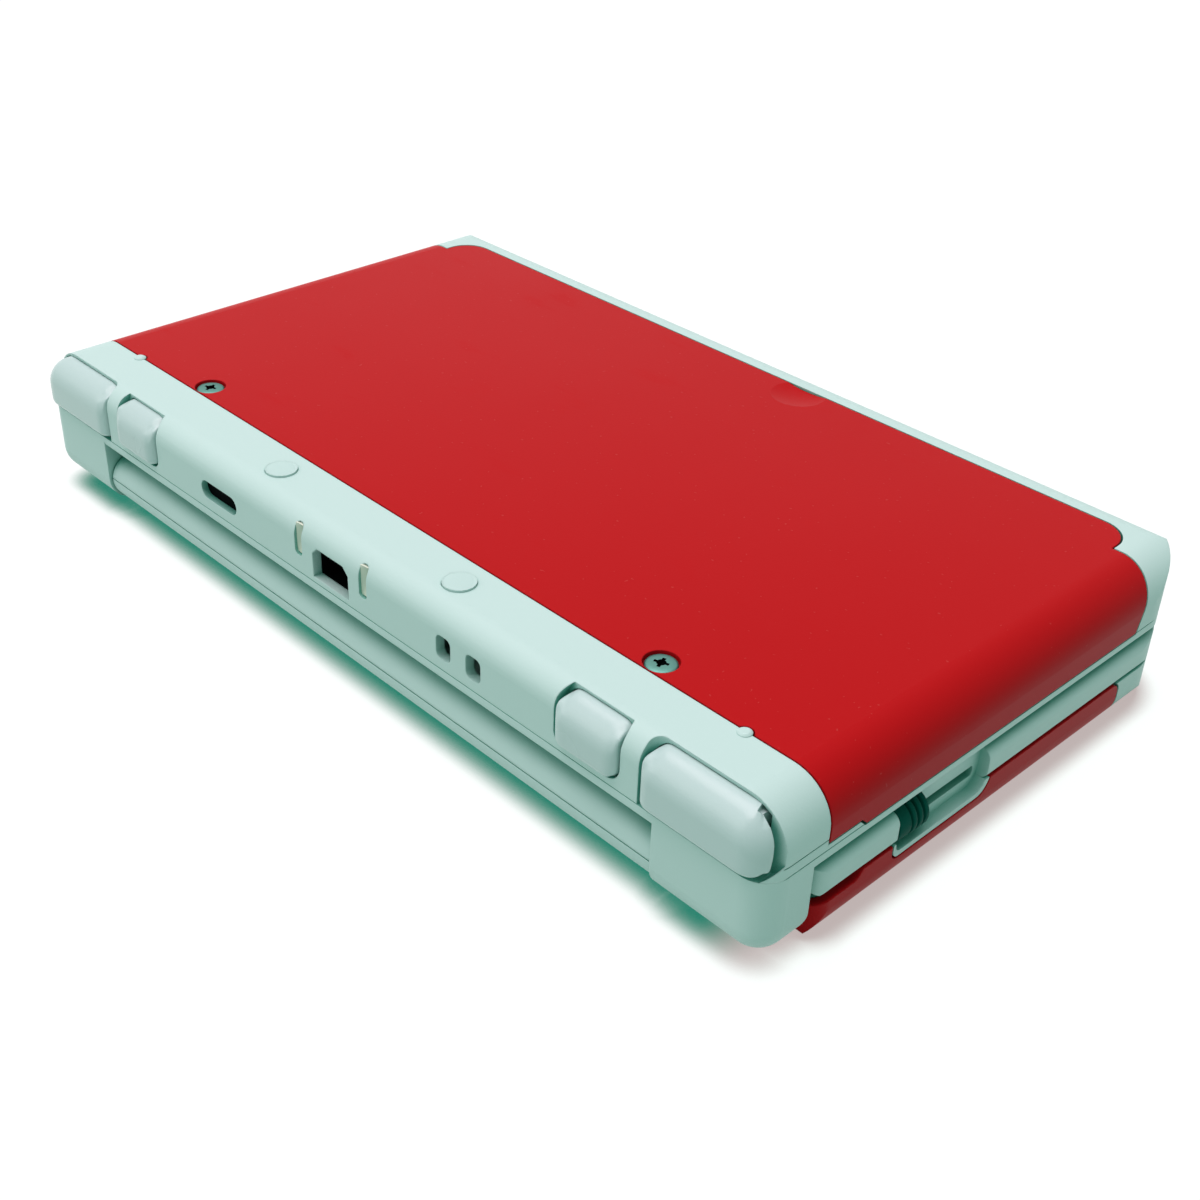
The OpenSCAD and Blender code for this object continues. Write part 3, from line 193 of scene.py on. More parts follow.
class Graph:
    """A node tree that is wired up with Wires."""

    def __init__(self, tree):
        self.tree = tree

    def put(self, socket, value):
        """Sets a socket to a value, or links it to a Wire."""
        if isinstance(value, Wire):
            self.tree.links.new(value.socket, socket)
        elif socket.type == "RGBA" and len(value) == 3:
            socket.default_value = (*value, 1.0)
        else:
            socket.default_value = value

    def node(self, kind, settings=None, inputs=None, output=0):
        """Adds a node, sets its settings and its sockets, and returns one of its outputs."""
        made = self.tree.nodes.new(kind)
        for key, value in (settings or {}).items():
            setattr(made, key, value)
        for key, value in (inputs or {}).items():
            self.put(made.inputs[key], value)
        return Wire(self, made.outputs[output])

    def mix(self, factor, a, b):
        """Mixes two colours."""
        return self.node(
            "ShaderNodeMix", {"data_type": "RGBA"}, {0: factor, 6: a, 7: b}, output=2
        )

    def seen_rays(self):
        """1 for rays from the camera, a reflection or a transmission."""
        path = self.tree.nodes.new("ShaderNodeLightPath")
        camera, glossy, through = (
            Wire(self, path.outputs[name])
            for name in ("Is Camera Ray", "Is Glossy Ray", "Is Transmission Ray")
        )
        return camera.most(glossy).most(through)


class Finish(Graph):
    """A material with its node tree and its main shader."""

    def __init__(self, name):
        self.material = bpy.data.materials.new(name)
        self.material.use_nodes = True
        super().__init__(self.material.node_tree)
        self.shader = self.tree.nodes["Principled BSDF"]
        self.place = self.node("ShaderNodeTexCoord", output="Object")

    def set(self, **values):
        """Sets the main shader's sockets: base_color stands for Base Color."""
        for key, value in values.items():
            name = key.replace("_", " ").title().replace("Ior", "IOR")
            self.put(self.shader.inputs[name], value)

    def along(self, axis):
        """The place's coordinate along an axis, X, Y or Z."""
        return self.node("ShaderNodeSeparateXYZ", {}, {"Vector": self.place}, output=axis)

    def noise(self, size, detail=2.0, roughness=0.5, stretch=None):
        """Noise whose lumps are about this size in metres."""
        place = self.place
        if stretch:
            place = self.node(
                "ShaderNodeVectorMath", {"operation": "MULTIPLY"}, {0: place, 1: stretch}
            )
        return self.node(
            "ShaderNodeTexNoise",
            {},
            {"Vector": place, "Scale": 1.0 / size, "Detail": detail, "Roughness": roughness},
        )

    def openness(self, distance, samples=6):
        """1 out in the open, towards 0 deep in gaps narrower than distance."""
        return self.node(
            "ShaderNodeAmbientOcclusion", {"samples": samples}, {"Distance": distance}, output="AO"
        )

    def rounded(self, radius):
        """The normal of the shape with its edges rounded."""
        return self.node("ShaderNodeBevel", {"samples": 6}, {"Radius": radius})

    def edges(self, radius):
        """1 along the edges of the shape, 0 on its faces."""
        flat = self.node("ShaderNodeNewGeometry", output="Normal")
        alike = self.node(
            "ShaderNodeVectorMath",
            {"operation": "DOT_PRODUCT"},
            {0: self.rounded(radius), 1: flat},
            output="Value",
        )
        return (1.0 - alike).step(0.01, 0.16)

    def surface(self, height, depth, edge=0.0):
        """Bumps the surface by height times depth, with moulded edges rounded by edge."""
        inputs = {"Height": height, "Distance": depth, "Strength": 1.0}
        if edge:
            inputs["Normal"] = self.rounded(edge)
        self.set(normal=self.node("ShaderNodeBump", {}, inputs))


# ---------- finishes ----------

SOFT = 0.12 * MM  # edge radius of the small pieces
FINE, EVEN, COARSE = 0.2 * MM, 0.3 * MM, 0.5 * MM  # sizes of a plain plastic's grain
PICTURE_BORDER = 1.5 * MM  # rim of a display that shows no picture

# Plain plastics: name, colour setting or colour, roughness, grain, edge and specular level
PLASTICS = {
    "button": ("shoulder button plastic", "button", 0.22, EVEN, 0.0, 0.5),
    "key": ("semi-gloss key plastic", "key", 0.28, EVEN, SOFT, 0.5),
    "slider": ("matt slider plastic", "slider", 0.5, EVEN, SOFT, 0.04),
    "dark": ("matt dark plastic", "dark", 0.42, EVEN, SOFT, 0.35),
    # The socket plastic also paints shade into the screws' cross recesses.
    "socket": ("black socket plastic", "socket", 0.7, EVEN, SOFT, 0.02),
    "stick": ("matt stick plastic", "stick", 0.55, 0.25 * MM, SOFT, 0.5),
    "pen": ("stylus plastic", "pen", 0.38, EVEN, SOFT, 0.5),
    "rubber": ("soft rubber", "housing", 0.75, FINE, SOFT, 0.3),
    "film": ("polyimide film", (0.30, 0.12, 0.02), 0.25, COARSE, SOFT, 0.5),
    "wrap": ("battery wrap", (0.05, 0.06, 0.065), 0.35, COARSE, SOFT, 0.5),
    "contact": ("pale contact plating", "contact", 0.35, EVEN, 0.0, 0.6),
}


def shaded(tint, factor):
    """A colour made lighter or darker, short of full white."""
    return [min(c * factor, 0.95) for c in tint]


def cover_plastic(colours, sizes):
    """Satin red plastic with a fine even grain and a few faint wipe marks."""
    f = Finish("satin cover plastic")
    cloud = f.noise(26 * MM, detail=3.0)
    wipes = f.noise(5 * MM, detail=4.0, roughness=0.6, stretch=(0.35, 1.0, 1.0)).step(0.60, 0.78)
    grain = f.noise(sizes.grain)
    specks = f.noise(0.45 * MM, detail=0.0).step(0.84, 0.86)
    base = f.mix(cloud * 0.16, colours.cover, shaded(colours.cover, 0.86))
    f.set(
        base_color=f.mix(specks * 0.15, base, (0.70, 0.22, 0.20)),
        roughness=0.34 + 0.06 * cloud + 0.07 * wipes,
        specular_ior_level=0.05,
    )
    f.surface(grain + 0.25 * wipes, 0.008 * MM, sizes.edge)
    return f.material


def housing_plastic(colours, sizes):
    """Matt mint plastic with painted shade, which deepens its colour to teal where little light
    gets in, and painted highlights that lighten its edges.
    """
    f = Finish("matt housing plastic")
    cloud = f.noise(30 * MM)
    grain = f.noise(sizes.grain, detail=3.0, roughness=0.6)
    # Painted shade: darkens the housing towards deep teal where ambient occlusion finds little open
    # space.
    deep = (1.0 - f.openness(sizes.recess)).step(0.05, 0.80)
    base = f.mix(cloud * 0.10, colours.housing, shaded(colours.housing, 0.93))
    # Painted highlight: the edges are lightened as if light caught them.
    painted_edge_highlight = f.mix(f.edges(0.3 * MM) * 0.45, base, shaded(colours.housing, 1.22))
    f.set(
        base_color=f.mix(deep, painted_edge_highlight, colours.housing_painted_shade),
        roughness=0.50 + 0.07 * cloud,
        specular_ior_level=0.42,
    )
    f.surface(grain, 0.012 * MM, sizes.edge)
    return f.material


def plain_plastic(name, tint, roughness, grain, edge, specular):
    """Moulded plastic of one colour, a little cloudy, with a grain."""
    f = Finish(name)
    cloud = f.noise(9 * MM)
    f.set(
        base_color=f.mix(cloud * 0.2, tint, shaded(tint, 0.85)),
        roughness=roughness + 0.08 * cloud,
        specular_ior_level=specular,
    )
    f.surface(f.noise(grain), 0.010 * MM, edge)
    return f.material


def metal(name, tint, roughness, grain_stretch=(1.0, 1.0, 1.0)):
    """Rolled or plated metal with a fine grain, which a stretch gives a direction."""
    f = Finish(name)
    rubbed = f.noise(0.5 * MM, detail=3.0, roughness=0.6, stretch=grain_stretch)
    tarnish = f.noise(3 * MM)
    f.set(
        base_color=f.mix(tarnish * 0.35, tint, shaded(tint, 0.65)),
        metallic=1.0,
        roughness=roughness + 0.15 * rubbed,
    )
    f.surface(rubbed, 0.006 * MM, 0.1 * MM)
    return f.material


def screen_glass(colours, name, display):
    """Black glossy glass with the dark picture area of a display behind it, and fingerprints."""
    low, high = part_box(display)
    half_width = (high.x - low.x) / 2 - PICTURE_BORDER
    half_height = (high.y - low.y) / 2 - PICTURE_BORDER
    f = Finish(name)
    prints = f.noise(7 * MM, detail=4.0, roughness=0.65).step(0.52, 0.75)
    inside = half_width - f.along("X").size()
    within = inside.least(half_height - (f.along("Y") - (low.y + high.y) / 2).size())
    picture = within.step(-0.03 * MM, 0.03 * MM)
    behind = f.mix(picture, colours.glass, colours.picture)
    f.set(
        base_color=f.mix(prints * 0.3, behind, shaded(colours.glass, 1.8)),
        roughness=0.05 + 0.10 * prints,
        coat_weight=0.5,
        coat_roughness=0.03,
    )
    f.surface(prints, 0.001 * MM)
    return f.material


def circuit_board(colours):
    """Green solder mask over a faint net of tracks."""
    f = Finish("circuit board")
    tracks = f.node(
        "ShaderNodeTexBrick",
        {},
        {"Vector": f.place, "Scale": 420.0, "Mortar Size": 0.06},
        output="Fac",
    )
    f.set(
        base_color=f.mix(tracks * 0.6, colours.board, (0.030, 0.190, 0.090)),
        roughness=0.30 + 0.25 * tracks,
    )
    f.surface(tracks, 0.01 * MM)
    return f.material


def floor_white_painted_shade():
    """White where it is seen, with the lamps' shadow, painted shade tinted in the gaps next to the
    console, and a pale bounce.
    """
    f = Finish("white floor")
    seen = f.seen_rays()
    # Painted shade: 1 close to the console, where ambient occlusion finds little open floor.
    near = (1.0 - f.openness(4.0 * MM, samples=24)).step(0.03, 0.55)
    right_side = f.along("X").step(0.0600, 0.0680)
    shade = f.mix(right_side, (0.002, 0.210, 0.140), (0.520, 0.450, 0.440))
    # Painted shadow: the floor's seen colour is darkened close to the console.
    shadow = f.mix(near, (0.130, 0.060, 0.100), (0.010, 0.010, 0.010))
    f.set(
        base_color=f.mix(seen, (0.47, 0.60, 0.55), shadow),
        roughness=0.9,
        specular_ior_level=0.0,
    )
    # Painted shade: the floor's white glow turns to a teal or pinkish shade close to the console.
    glow = f.node(
        "ShaderNodeEmission",
        {},
        {"Color": f.mix(near, (0.93, 1.0, 0.96), shade), "Strength": seen},
        output="Emission",
    )
    both = f.node("ShaderNodeAddShader", {}, {0: Wire(f, f.shader.outputs[0]), 1: glow})
    f.put(f.tree.nodes["Material Output"].inputs["Surface"], both)
    return f.material


def make_finishes(context):
    """Makes each finish once: finish name to material."""
    colours = context.scene.console_colours
    sizes = context.scene.console_sizes
    finishes = {
        "cover": cover_plastic(colours, sizes),
        "housing": housing_plastic(colours, sizes),
        "steel": metal("rolled steel", colours.steel, 0.28, grain_stretch=(1.0, 0.15, 1.0)),
        "screw": metal("plated screw steel", colours.screw, 0.42),
        "glass": screen_glass(colours, "upper screen glass", "upper_display"),
        "touch": screen_glass(colours, "touch panel glass", "lower_display"),
        "board": circuit_board(colours),
    }
    for finish, (name, tint, *rest) in PLASTICS.items():
        if isinstance(tint, str):
            tint = getattr(colours, tint)
        finishes[finish] = plain_plastic(name, tint, *rest)
    return finishes


# Which nodes of the frame take which finish
NODE_FINISHES = {
    "cover": ["lid_cover", "base_cover"],
    "housing": [
        "lid_outer_housing", "lid_inner_housing", "rear_housing", "control_housing",
        "stylus_sleeve", "right_shoulder_button", "left_shoulder_button", "right_trigger",
        "left_trigger",
    ],
    "key": [
        "right_face_button", "left_face_button", "near_face_button", "far_face_button",
        "start_button", "select_button", "home_button", "power_button", "status_light_pipes",
    ],
    "slider": ["depth_slider", "volume_slider"],
    "dark": [
        "upper_display", "speakers", "outer_camera_lenses", "camera_module",
        "inner_camera_lens", "headphone_socket", "lower_display", "shoulder_switches",
        "circle_pad_base", "dpad",
    ],
    "socket": ["charging_socket", "infrared_window"],
    "stick": ["right_nub_stick", "circle_pad_slider", "circle_pad_cap"],
    "pen": ["stylus"],
    "rubber": ["lid_bumpers", "rubber_feet", "button_membranes"],
    "film": ["display_ribbon"],
    "wrap": ["battery"],
    "steel": [
        "hinge_pins", "hinge_clutch", "card_slot_cage", "memory_card_socket",
        "wireless_module", "shoulder_pins", "dpad_pivot",
    ],
    "screw": ["cover_screws", "lid_screws", "base_screws"],
    "contact": ["charge_contacts"],
    "glass": ["upper_screen_glass"],
    "touch": ["touch_panel"],
    "board": ["lid_board", "main_board", "slider_boards"],
}

FINISHES = {}


class CONSOLE_OT_finishes(bpy.types.Operator):
    """Make the finishes and put them on the console's frame"""

    bl_idname = "console.finishes"
    bl_label = "Finishes"

    def execute(self, context):
        FINISHES.update(make_finishes(context))
        for finish, nodes in NODE_FINISHES.items():
            for node in nodes:
                mesh = NODES[node].data
                mesh.materials.clear()
                mesh.materials.append(FINISHES[finish])
        return {"FINISHED"}


# ---------- modelling ----------


class Model:
    """A mesh being modelled in the console's frame."""

    def __init__(self, name):
        self.name = name
        self.bm = bmesh.new()

    def block(self, low, high, cuts=0):
        """A box between two corners, each side divided by cuts."""
        low, high = Vector(low), Vector(high)
        part = bmesh.new()
        bmesh.ops.create_cube(part, size=1.0)
        if cuts:
            bmesh.ops.subdivide_edges(
                part, edges=list(part.edges), cuts=cuts, use_grid_fill=True
            )
        for v in part.verts:
            v.co = [(a + b) / 2 + c * (b - a) for a, b, c in zip(low, high, v.co)]
        mesh = bpy.data.meshes.new("block")
        part.to_mesh(mesh)
        part.free()
        self.bm.from_mesh(mesh)
        bpy.data.meshes.remove(mesh)
        return self

    def round_edge(self, axis, corner, inward, radius, end_radius=None, blend=(0.0, 1.0)):
        """Rounds the edge that runs along axis through corner.

        Squares about the edge's centre become circles. corner holds the two other coordinates,
        and inward the signs that point into the piece. The radius can change to end_radius
        between the two places that blend names along the axis.
        """
        u, w = (i for i in range(3) if i != axis)
        for v in self.bm.verts:
            r = radius
            if end_radius is not None:
                along = min(max((v.co[axis] - blend[0]) / (blend[1] - blend[0]), 0.0), 1.0)
                r += (end_radius - radius) * along
            centre = [c + s * r for c, s in zip(corner, inward)]
            du = (v.co[u] - centre[0]) * -inward[0]
            dw = (v.co[w] - centre[1]) * -inward[1]
            if du > 0 and dw > 0:
                grown = max(du, dw) / math.hypot(du, dw)
                v.co[u] = centre[0] - inward[0] * du * grown
                v.co[w] = centre[1] - inward[1] * dw * grown
        return self

    def round_edges(self, low, high, edges):
        """Rounds edges of the box from low to high, each given as axis, inward and radius."""
        for axis, inward, radius in edges:
            across = [i for i in range(3) if i != axis]
            corner = [(low if sign > 0 else high)[i] for i, sign in zip(across, inward)]
            self.round_edge(axis, corner, inward, radius)
        return self

    def bend(self, start, rear, radius):
        """Wraps what lies beyond start in X round an upright corner with its face at rear in Y."""
        least_reach = 0.15 * MM
        for v in self.bm.verts:
            beyond = v.co.x - start
            if beyond <= 0:
                continue
            depth = v.co.y - rear
            angle = min(beyond / radius, math.pi / 2)
            reach = max(radius - depth, least_reach)
            rest = beyond - angle * radius
            v.co.x = start + reach * math.sin(angle)
            v.co.y = rear + radius - reach * math.cos(angle) + rest
        return self

    def thin_end(self, start, end, rear, depth):
        """Makes what lies beyond end in X no deeper than depth from the face at rear in Y."""
        deepest = max(v.co.y for v in self.bm.verts) - rear
        for v in self.bm.verts:
            along = min(max((v.co.x - start) / (end - start), 0.0), 1.0)
            v.co.y = rear + (v.co.y - rear) * (1.0 + (depth / deepest - 1.0) * along)
        return self

    def smooth(self, times):
        """Relaxes the whole surface."""
        bmesh.ops.remove_doubles(self.bm, verts=self.bm.verts, dist=WELD)
        for _ in range(times):
            bmesh.ops.smooth_vert(
                self.bm, verts=self.bm.verts, factor=0.5,
                use_axis_x=True, use_axis_y=True, use_axis_z=True,
            )
        return self

    def lathe(self, profile, centre, steps=48):
        """Turns a profile of (radius, height) points about the upright line through centre."""
        centre = Vector(centre)
        side = UP.orthogonal().normalized()
        verts = [self.bm.verts.new(centre + side * r + UP * h) for r, h in profile]
        edges = [self.bm.edges.new(pair) for pair in zip(verts, verts[1:])]
        bmesh.ops.spin(
            self.bm, geom=verts + edges, cent=centre, axis=UP, angle=math.tau, steps=steps,
            use_merge=True,
        )
        return self

    def on_side(self, side):
        """Mirrors the mesh, which is modelled on the right, if it belongs on the left."""
        if side == "left":
            bmesh.ops.scale(self.bm, vec=(-1.0, 1.0, 1.0), verts=self.bm.verts)
        return self

    def object(self, context, *finishes, cut_by=None, smooth_angle=35.0):
        """Ends the modelling and returns the piece as an object with its finishes."""
        bmesh.ops.remove_doubles(self.bm, verts=self.bm.verts, dist=WELD)
        bmesh.ops.recalc_face_normals(self.bm, faces=self.bm.faces)
        mesh = bpy.data.meshes.new(self.name)
        self.bm.to_mesh(mesh)
        self.bm.free()
        for finish in finishes:
            mesh.materials.append(FINISHES[finish])
        piece = bpy.data.objects.new(self.name, mesh)
        context.scene.collection.objects.link(piece)
        if cut_by is not None:
            carve(context, piece, cut_by)
        piece.data.shade_smooth()
        piece.data.set_sharp_from_angle(angle=math.radians(smooth_angle))
        return piece


def carve(context, piece, cutter):
    """Cuts the cutter's shape out of the piece and removes the cutter."""
    modifier = piece.modifiers.new("carve", "BOOLEAN")
    modifier.operation = "DIFFERENCE"
    modifier.solver = "EXACT"
    modifier.use_self = True
    modifier.object = cutter
    context.view_layer.update()
    evaluated = piece.evaluated_get(context.evaluated_depsgraph_get())
    carved = bpy.data.meshes.new_from_object(evaluated)
    piece.modifiers.clear()
    old, piece.data = piece.data, carved
    bpy.data.meshes.remove(old)
    bpy.data.objects.remove(cutter)


def stand_for(piece, node, body):
    """Puts a piece in the place of a node of the frame, on its body, and hides the node."""
    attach(piece, body)
    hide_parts(node)


# ---------- shoulder controls ----------

CAP_CUTS, TRIGGER_CUTS = 44, 26  # divisions of a cap's sides
RELAXED = 3  # rounds of smoothing
CAP_SKIN = 2.4 * MM  # depth of a shoulder button beyond its corner
CAP_ANGLE = 60.0  # edges sharper than this many degrees stay sharp

# Each edge's axis, the signs that point into the cap across it, and its radius
SHOULDER_EDGES = (
    (X, (1, 1), 0.9 * MM),
    (Y, (1, -1), 2.0 * MM),
    (Y, (1, 1), 0.9 * MM),
    (Y, (-1, 1), 2.8 * MM),
    (Y, (-1, -1), 1.6 * MM),
    (Z, (1, 1), 1.5 * MM),
    (Z, (-1, 1), 0.5 * MM),
)
TRIGGER_EDGES = (
    (X, (1, 1), 0.9 * MM),
    (Y, (-1, 1), 1.6 * MM),
    (Y, (-1, -1), 1.3 * MM),
    (Y, (1, -1), 2.0 * MM),
    (Y, (1, 1), 1.1 * MM),
    (Z, (-1, 1), 1.3 * MM),
    (Z, (1, 1), 1.5 * MM),
)


class CONSOLE_OT_shoulder_buttons(bpy.types.Operator):
    """Model the two shoulder buttons, which wrap round the console's rear corners"""

    bl_idname = "console.shoulder_buttons"
    bl_label = "Shoulder buttons"

    def execute(self, context):
        sizes = context.scene.console_sizes
        low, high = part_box("right_shoulder_button")
        start = high.x - sizes.shoulder_wrap
        end = start + sizes.shoulder_reach
        tip = (end, high.y, high.z)
        for side in SIDES:
            model = Model(f"{side}_shoulder_cap").block(low, tip, CAP_CUTS)
            model.thin_end(start - 0.3 * MM, start + 0.3 * MM, low.y, CAP_SKIN)
            model.round_edge(
                X, (low.y, high.z), (1, -1), sizes.shoulder_crown,
                end_radius=sizes.shoulder_sweep, blend=(start, end - 1.5 * MM),
            )
            model.round_edges(low, tip, SHOULDER_EDGES)
            model.bend(start, low.y, sizes.shoulder_wrap).smooth(RELAXED)
            # A plain core behind the thin skin
            model.block(
                (start - 4 * MM, low.y + 2 * MM, low.z + 2 * MM),
                (start + 0.5 * MM, high.y, high.z - 0.8 * MM),
            )
            cap = model.on_side(side).object(context, "button", smooth_angle=CAP_ANGLE)
            stand_for(cap, f"{side}_shoulder_button", f"{side}_shoulder_button")
        return {"FINISHED"}


class CONSOLE_OT_triggers(bpy.types.Operator):
    """Model the two triggers beside the shoulder buttons"""

    bl_idname = "console.triggers"
    bl_label = "Triggers"

    def execute(self, context):
        crown = context.scene.console_sizes.shoulder_crown * 0.95
        low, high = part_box("right_trigger")
        for side in SIDES:
            model = Model(f"{side}_trigger_cap").block(low, high, TRIGGER_CUTS)
            model.round_edge(X, (low.y, high.z), (1, -1), crown)
            model.round_edges(low, high, TRIGGER_EDGES).smooth(RELAXED)
            cap = model.on_side(side).object(context, "button", smooth_angle=CAP_ANGLE)
            stand_for(cap, f"{side}_trigger", f"{side}_trigger")
        return {"FINISHED"}


# ---------- sliders ----------

KNOB_PROUD = 1.65 * MM  # how far a knob bulges out of the console's side
KNOB_CORE = 0.35  # share of the knob's radius where its end faces begin
# A knob's rib after its groove: steps along the knob, and depth below the rib's crest
RIB = ((0.55, 0.06 * MM), (0.80, 0.0), (1.20, 0.0), (1.35, 0.08 * MM))


class CONSOLE_OT_sliders(bpy.types.Operator):
    """Model the knobs of the two side sliders, with their curved ribs"""

    bl_idname = "console.sliders"
    bl_label = "Sliders"

    def execute(self, context):
        low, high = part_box("depth_slider")
        half = (high.z - low.z) / 2
        radius = (half * half + KNOB_PROUD * KNOB_PROUD) / (2 * KNOB_PROUD)
        centre = Vector((high.x - radius, 0.0, (low.z + high.z) / 2))
        reach = math.asin(min(half / radius, 0.999))
        outline = self.outline(low.y, high.y, radius, context.scene.console_sizes.rib_depth)
        for side, node in zip(SIDES, ("depth_slider", "volume_slider")):
            model = Model(f"{side}_slider_knob")
            verts = [model.bm.verts.new(self.turned(centre, y, r, -reach)) for y, r in outline]
            edges = [model.bm.edges.new(pair) for pair in zip(verts, verts[1:] + verts[:1])]
            bmesh.ops.spin(
                model.bm, geom=verts + edges, cent=centre, axis=(0, -1, 0), angle=2 * reach,
                steps=20,
            )
            rims = [e for e in model.bm.edges if e.is_boundary]
            bmesh.ops.holes_fill(model.bm, edges=rims, sides=0)
            knob = model.on_side(side).object(context, "slider", smooth_angle=40.0)
            stand_for(knob, node, node)
        return {"FINISHED"}

    def turned(self, centre, y, r, angle):
        """The point r from the knob's axis, at an angle from the console's side."""
        return Vector((centre.x + r * math.cos(angle), y, centre.z + r * math.sin(angle)))

    def outline(self, y0, y1, radius, depth):
        """The knob's outline along its travel: a plain rear part, then three ribs."""
        plain = radius - 0.1 * MM
        step = (y1 - y0) / 7
        start = y0 + 2.6 * step
        points = [
            (y0, radius * KNOB_CORE),
            (y0, radius - 0.5 * MM),
            (y0 + 0.15 * MM, radius - 0.2 * MM),
            (y0 + 0.5 * MM, plain),
            (start, plain),
        ]
        for rib in range(3):
            foot = start + rib * 1.4 * step
            for along, drop in ((0.10, depth), (0.40, depth), *RIB):
                points.append((foot + along * step, radius - drop))
        return points + [(y1, radius - 0.5 * MM), (y1, radius * KNOB_CORE)]


# ---------- controls inside ----------

FLANGE = 0.5 * MM  # thickness of the flanges that hold the controls in
PAD_R = 7.8 * MM  # radius of the circle pad where it shows
PAD_NECK = 2.0 * MM  # radius of the circle pad's stem
BUTTON_LIP = 0.8 * MM  # how far a button's flange stands out


class CONSOLE_OT_controls(bpy.types.Operator):
    """Model the circle pad's cap and the four round buttons"""

    bl_idname = "console.controls"
    bl_label = "Controls"

    def execute(self, context):
        self.add_circle_pad(context)
        for side in ("right", "left", "near", "far"):
            self.add_button(context, side)
        return {"FINISHED"}

    def add_circle_pad(self, context):
        """The circle pad's dished cap, with three fine rings, a flange and a stem."""
        low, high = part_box("circle_pad_cap")
        flange_r = (high.x - low.x) / 2
        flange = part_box("right_face_button")[1].z - FLANGE - low.z
        depth = high.z - low.z
        profile = [(0.0, 0.62 * MM), (PAD_R * 0.35, 0.58 * MM), (PAD_R * 0.62, 0.46 * MM)]
        for ring in range(3):
            r = PAD_R - 2.5 * MM + ring * 0.55 * MM
            rise = (0.36 - 0.09 * ring) * MM
            profile += [
                (r, rise),
                (r + 0.14 * MM, rise + 0.16 * MM),
                (r + 0.32 * MM, rise + 0.14 * MM),
            ]
        profile += [
            (PAD_R - 0.75 * MM, 0.02 * MM),
            (PAD_R - 0.45 * MM, 0.0),
            (PAD_R - 0.15 * MM, 0.10 * MM),
            (PAD_R, 0.38 * MM),
            (PAD_R, flange),
            (flange_r, flange),
            (flange_r, flange + FLANGE),
            (PAD_NECK, flange + FLANGE),
            (PAD_NECK, depth),
            (0.0, depth),
        ]
        cap = Model("circle_pad_top").lathe(profile, self.base(low, high), steps=96)
        stand_for(cap.object(context, "stick"), "circle_pad_cap", "circle_pad_cap")

    def add_button(self, context, side):
        """One round button with a slightly domed top and a flange."""
        node = f"{side}_face_button"
        low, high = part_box(node)
        flange_r = (high.x - low.x) / 2
        r = flange_r - BUTTON_LIP
        depth = high.z - low.z
        flange = depth - FLANGE
        profile = [
            (0.0, 0.0),
            (r * 0.45, 0.02 * MM),
            (r * 0.75, 0.09 * MM),
            (r - 0.35 * MM, 0.20 * MM),
            (r - 0.12 * MM, 0.34 * MM),
            (r, 0.60 * MM),
            (r, flange),
            (flange_r, flange),
            (flange_r, depth),
            (0.0, depth),
        ]
        button = Model(f"{side}_button_top").lathe(profile, self.base(low, high), steps=64)
        stand_for(button.object(context, "key"), node, node)

    def base(self, low, high):
        """The middle of a control's face, which faces down while the console is closed."""
        return ((low.x + high.x) / 2, (low.y + high.y) / 2, low.z)


# ---------- screws, contacts and feet ----------

HEAD_R, SHANK_R = 1.95 * MM, 0.80 * MM  # radii of a cover screw
CROSS_TURN = 0.35  # how far the crosses in the screws are turned, in radians
CROSS_BAR = (2.15 * MM, 0.50 * MM, 0.9 * MM)  # one bar of a cross
CONTACT_WIDTH = 1.5 * MM


class CONSOLE_OT_screws(bpy.types.Operator):
    """Model the two cover screws with their cross recesses"""

    bl_idname = "console.screws"
    bl_label = "Cover screws"

    def execute(self, context):
        low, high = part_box("cover_screws")
        bottom = low.z - high.z
        head = [
            (0.0, 0.0),
            (HEAD_R * 0.55, -0.02 * MM),
            (HEAD_R - 0.35 * MM, -0.07 * MM),
            (HEAD_R - 0.10 * MM, -0.18 * MM),
            (HEAD_R, -0.32 * MM),
            (HEAD_R, -0.60 * MM),
            (SHANK_R, -0.62 * MM),
            (SHANK_R, bottom),
            (0.0, bottom),
        ]
        cone = [(0.0, 0.1 * MM), (0.62 * MM, 0.1 * MM), (0.34 * MM, -0.62 * MM), (0.0, -0.75 * MM)]
        model = Model("cover_screw_heads")
        cutter = Model("screw_recesses")
        for x in (low.x + HEAD_R, high.x - HEAD_R):
            top = Vector((x, (low.y + high.y) / 2, high.z))
            model.lathe(head, top)
            for turn in (CROSS_TURN, CROSS_TURN + math.pi / 2):
                self.add_bar(cutter, top, turn)
            cutter.lathe(cone, top, steps=24)
        # Painted shade: the cross recesses take the near-black socket plastic, standing in for
        # their shade.
        for face in cutter.bm.faces:
            face.material_index = 1
        recess = cutter.object(context, "screw", "socket")
        screws = model.object(context, "screw", "socket", cut_by=recess)
        stand_for(screws, "cover_screws", "base")
        return {"FINISHED"}

    def add_bar(self, cutter, top, turn):
        """One bar of the cross, narrower towards its bottom."""
        long, wide, deep = CROSS_BAR
        made = bmesh.ops.create_cube(cutter.bm, size=1.0)["verts"]
        for v in made:
            narrow = 0.72 if v.co.z < 0 else 1.0
            v.co = (v.co.x * long * narrow, v.co.y * wide * narrow, v.co.z * deep)
        turned = Matrix.Rotation(turn, 3, "Z")
        bmesh.ops.rotate(cutter.bm, verts=made, cent=(0, 0, 0), matrix=turned)
        bmesh.ops.translate(cutter.bm, verts=made, vec=top)


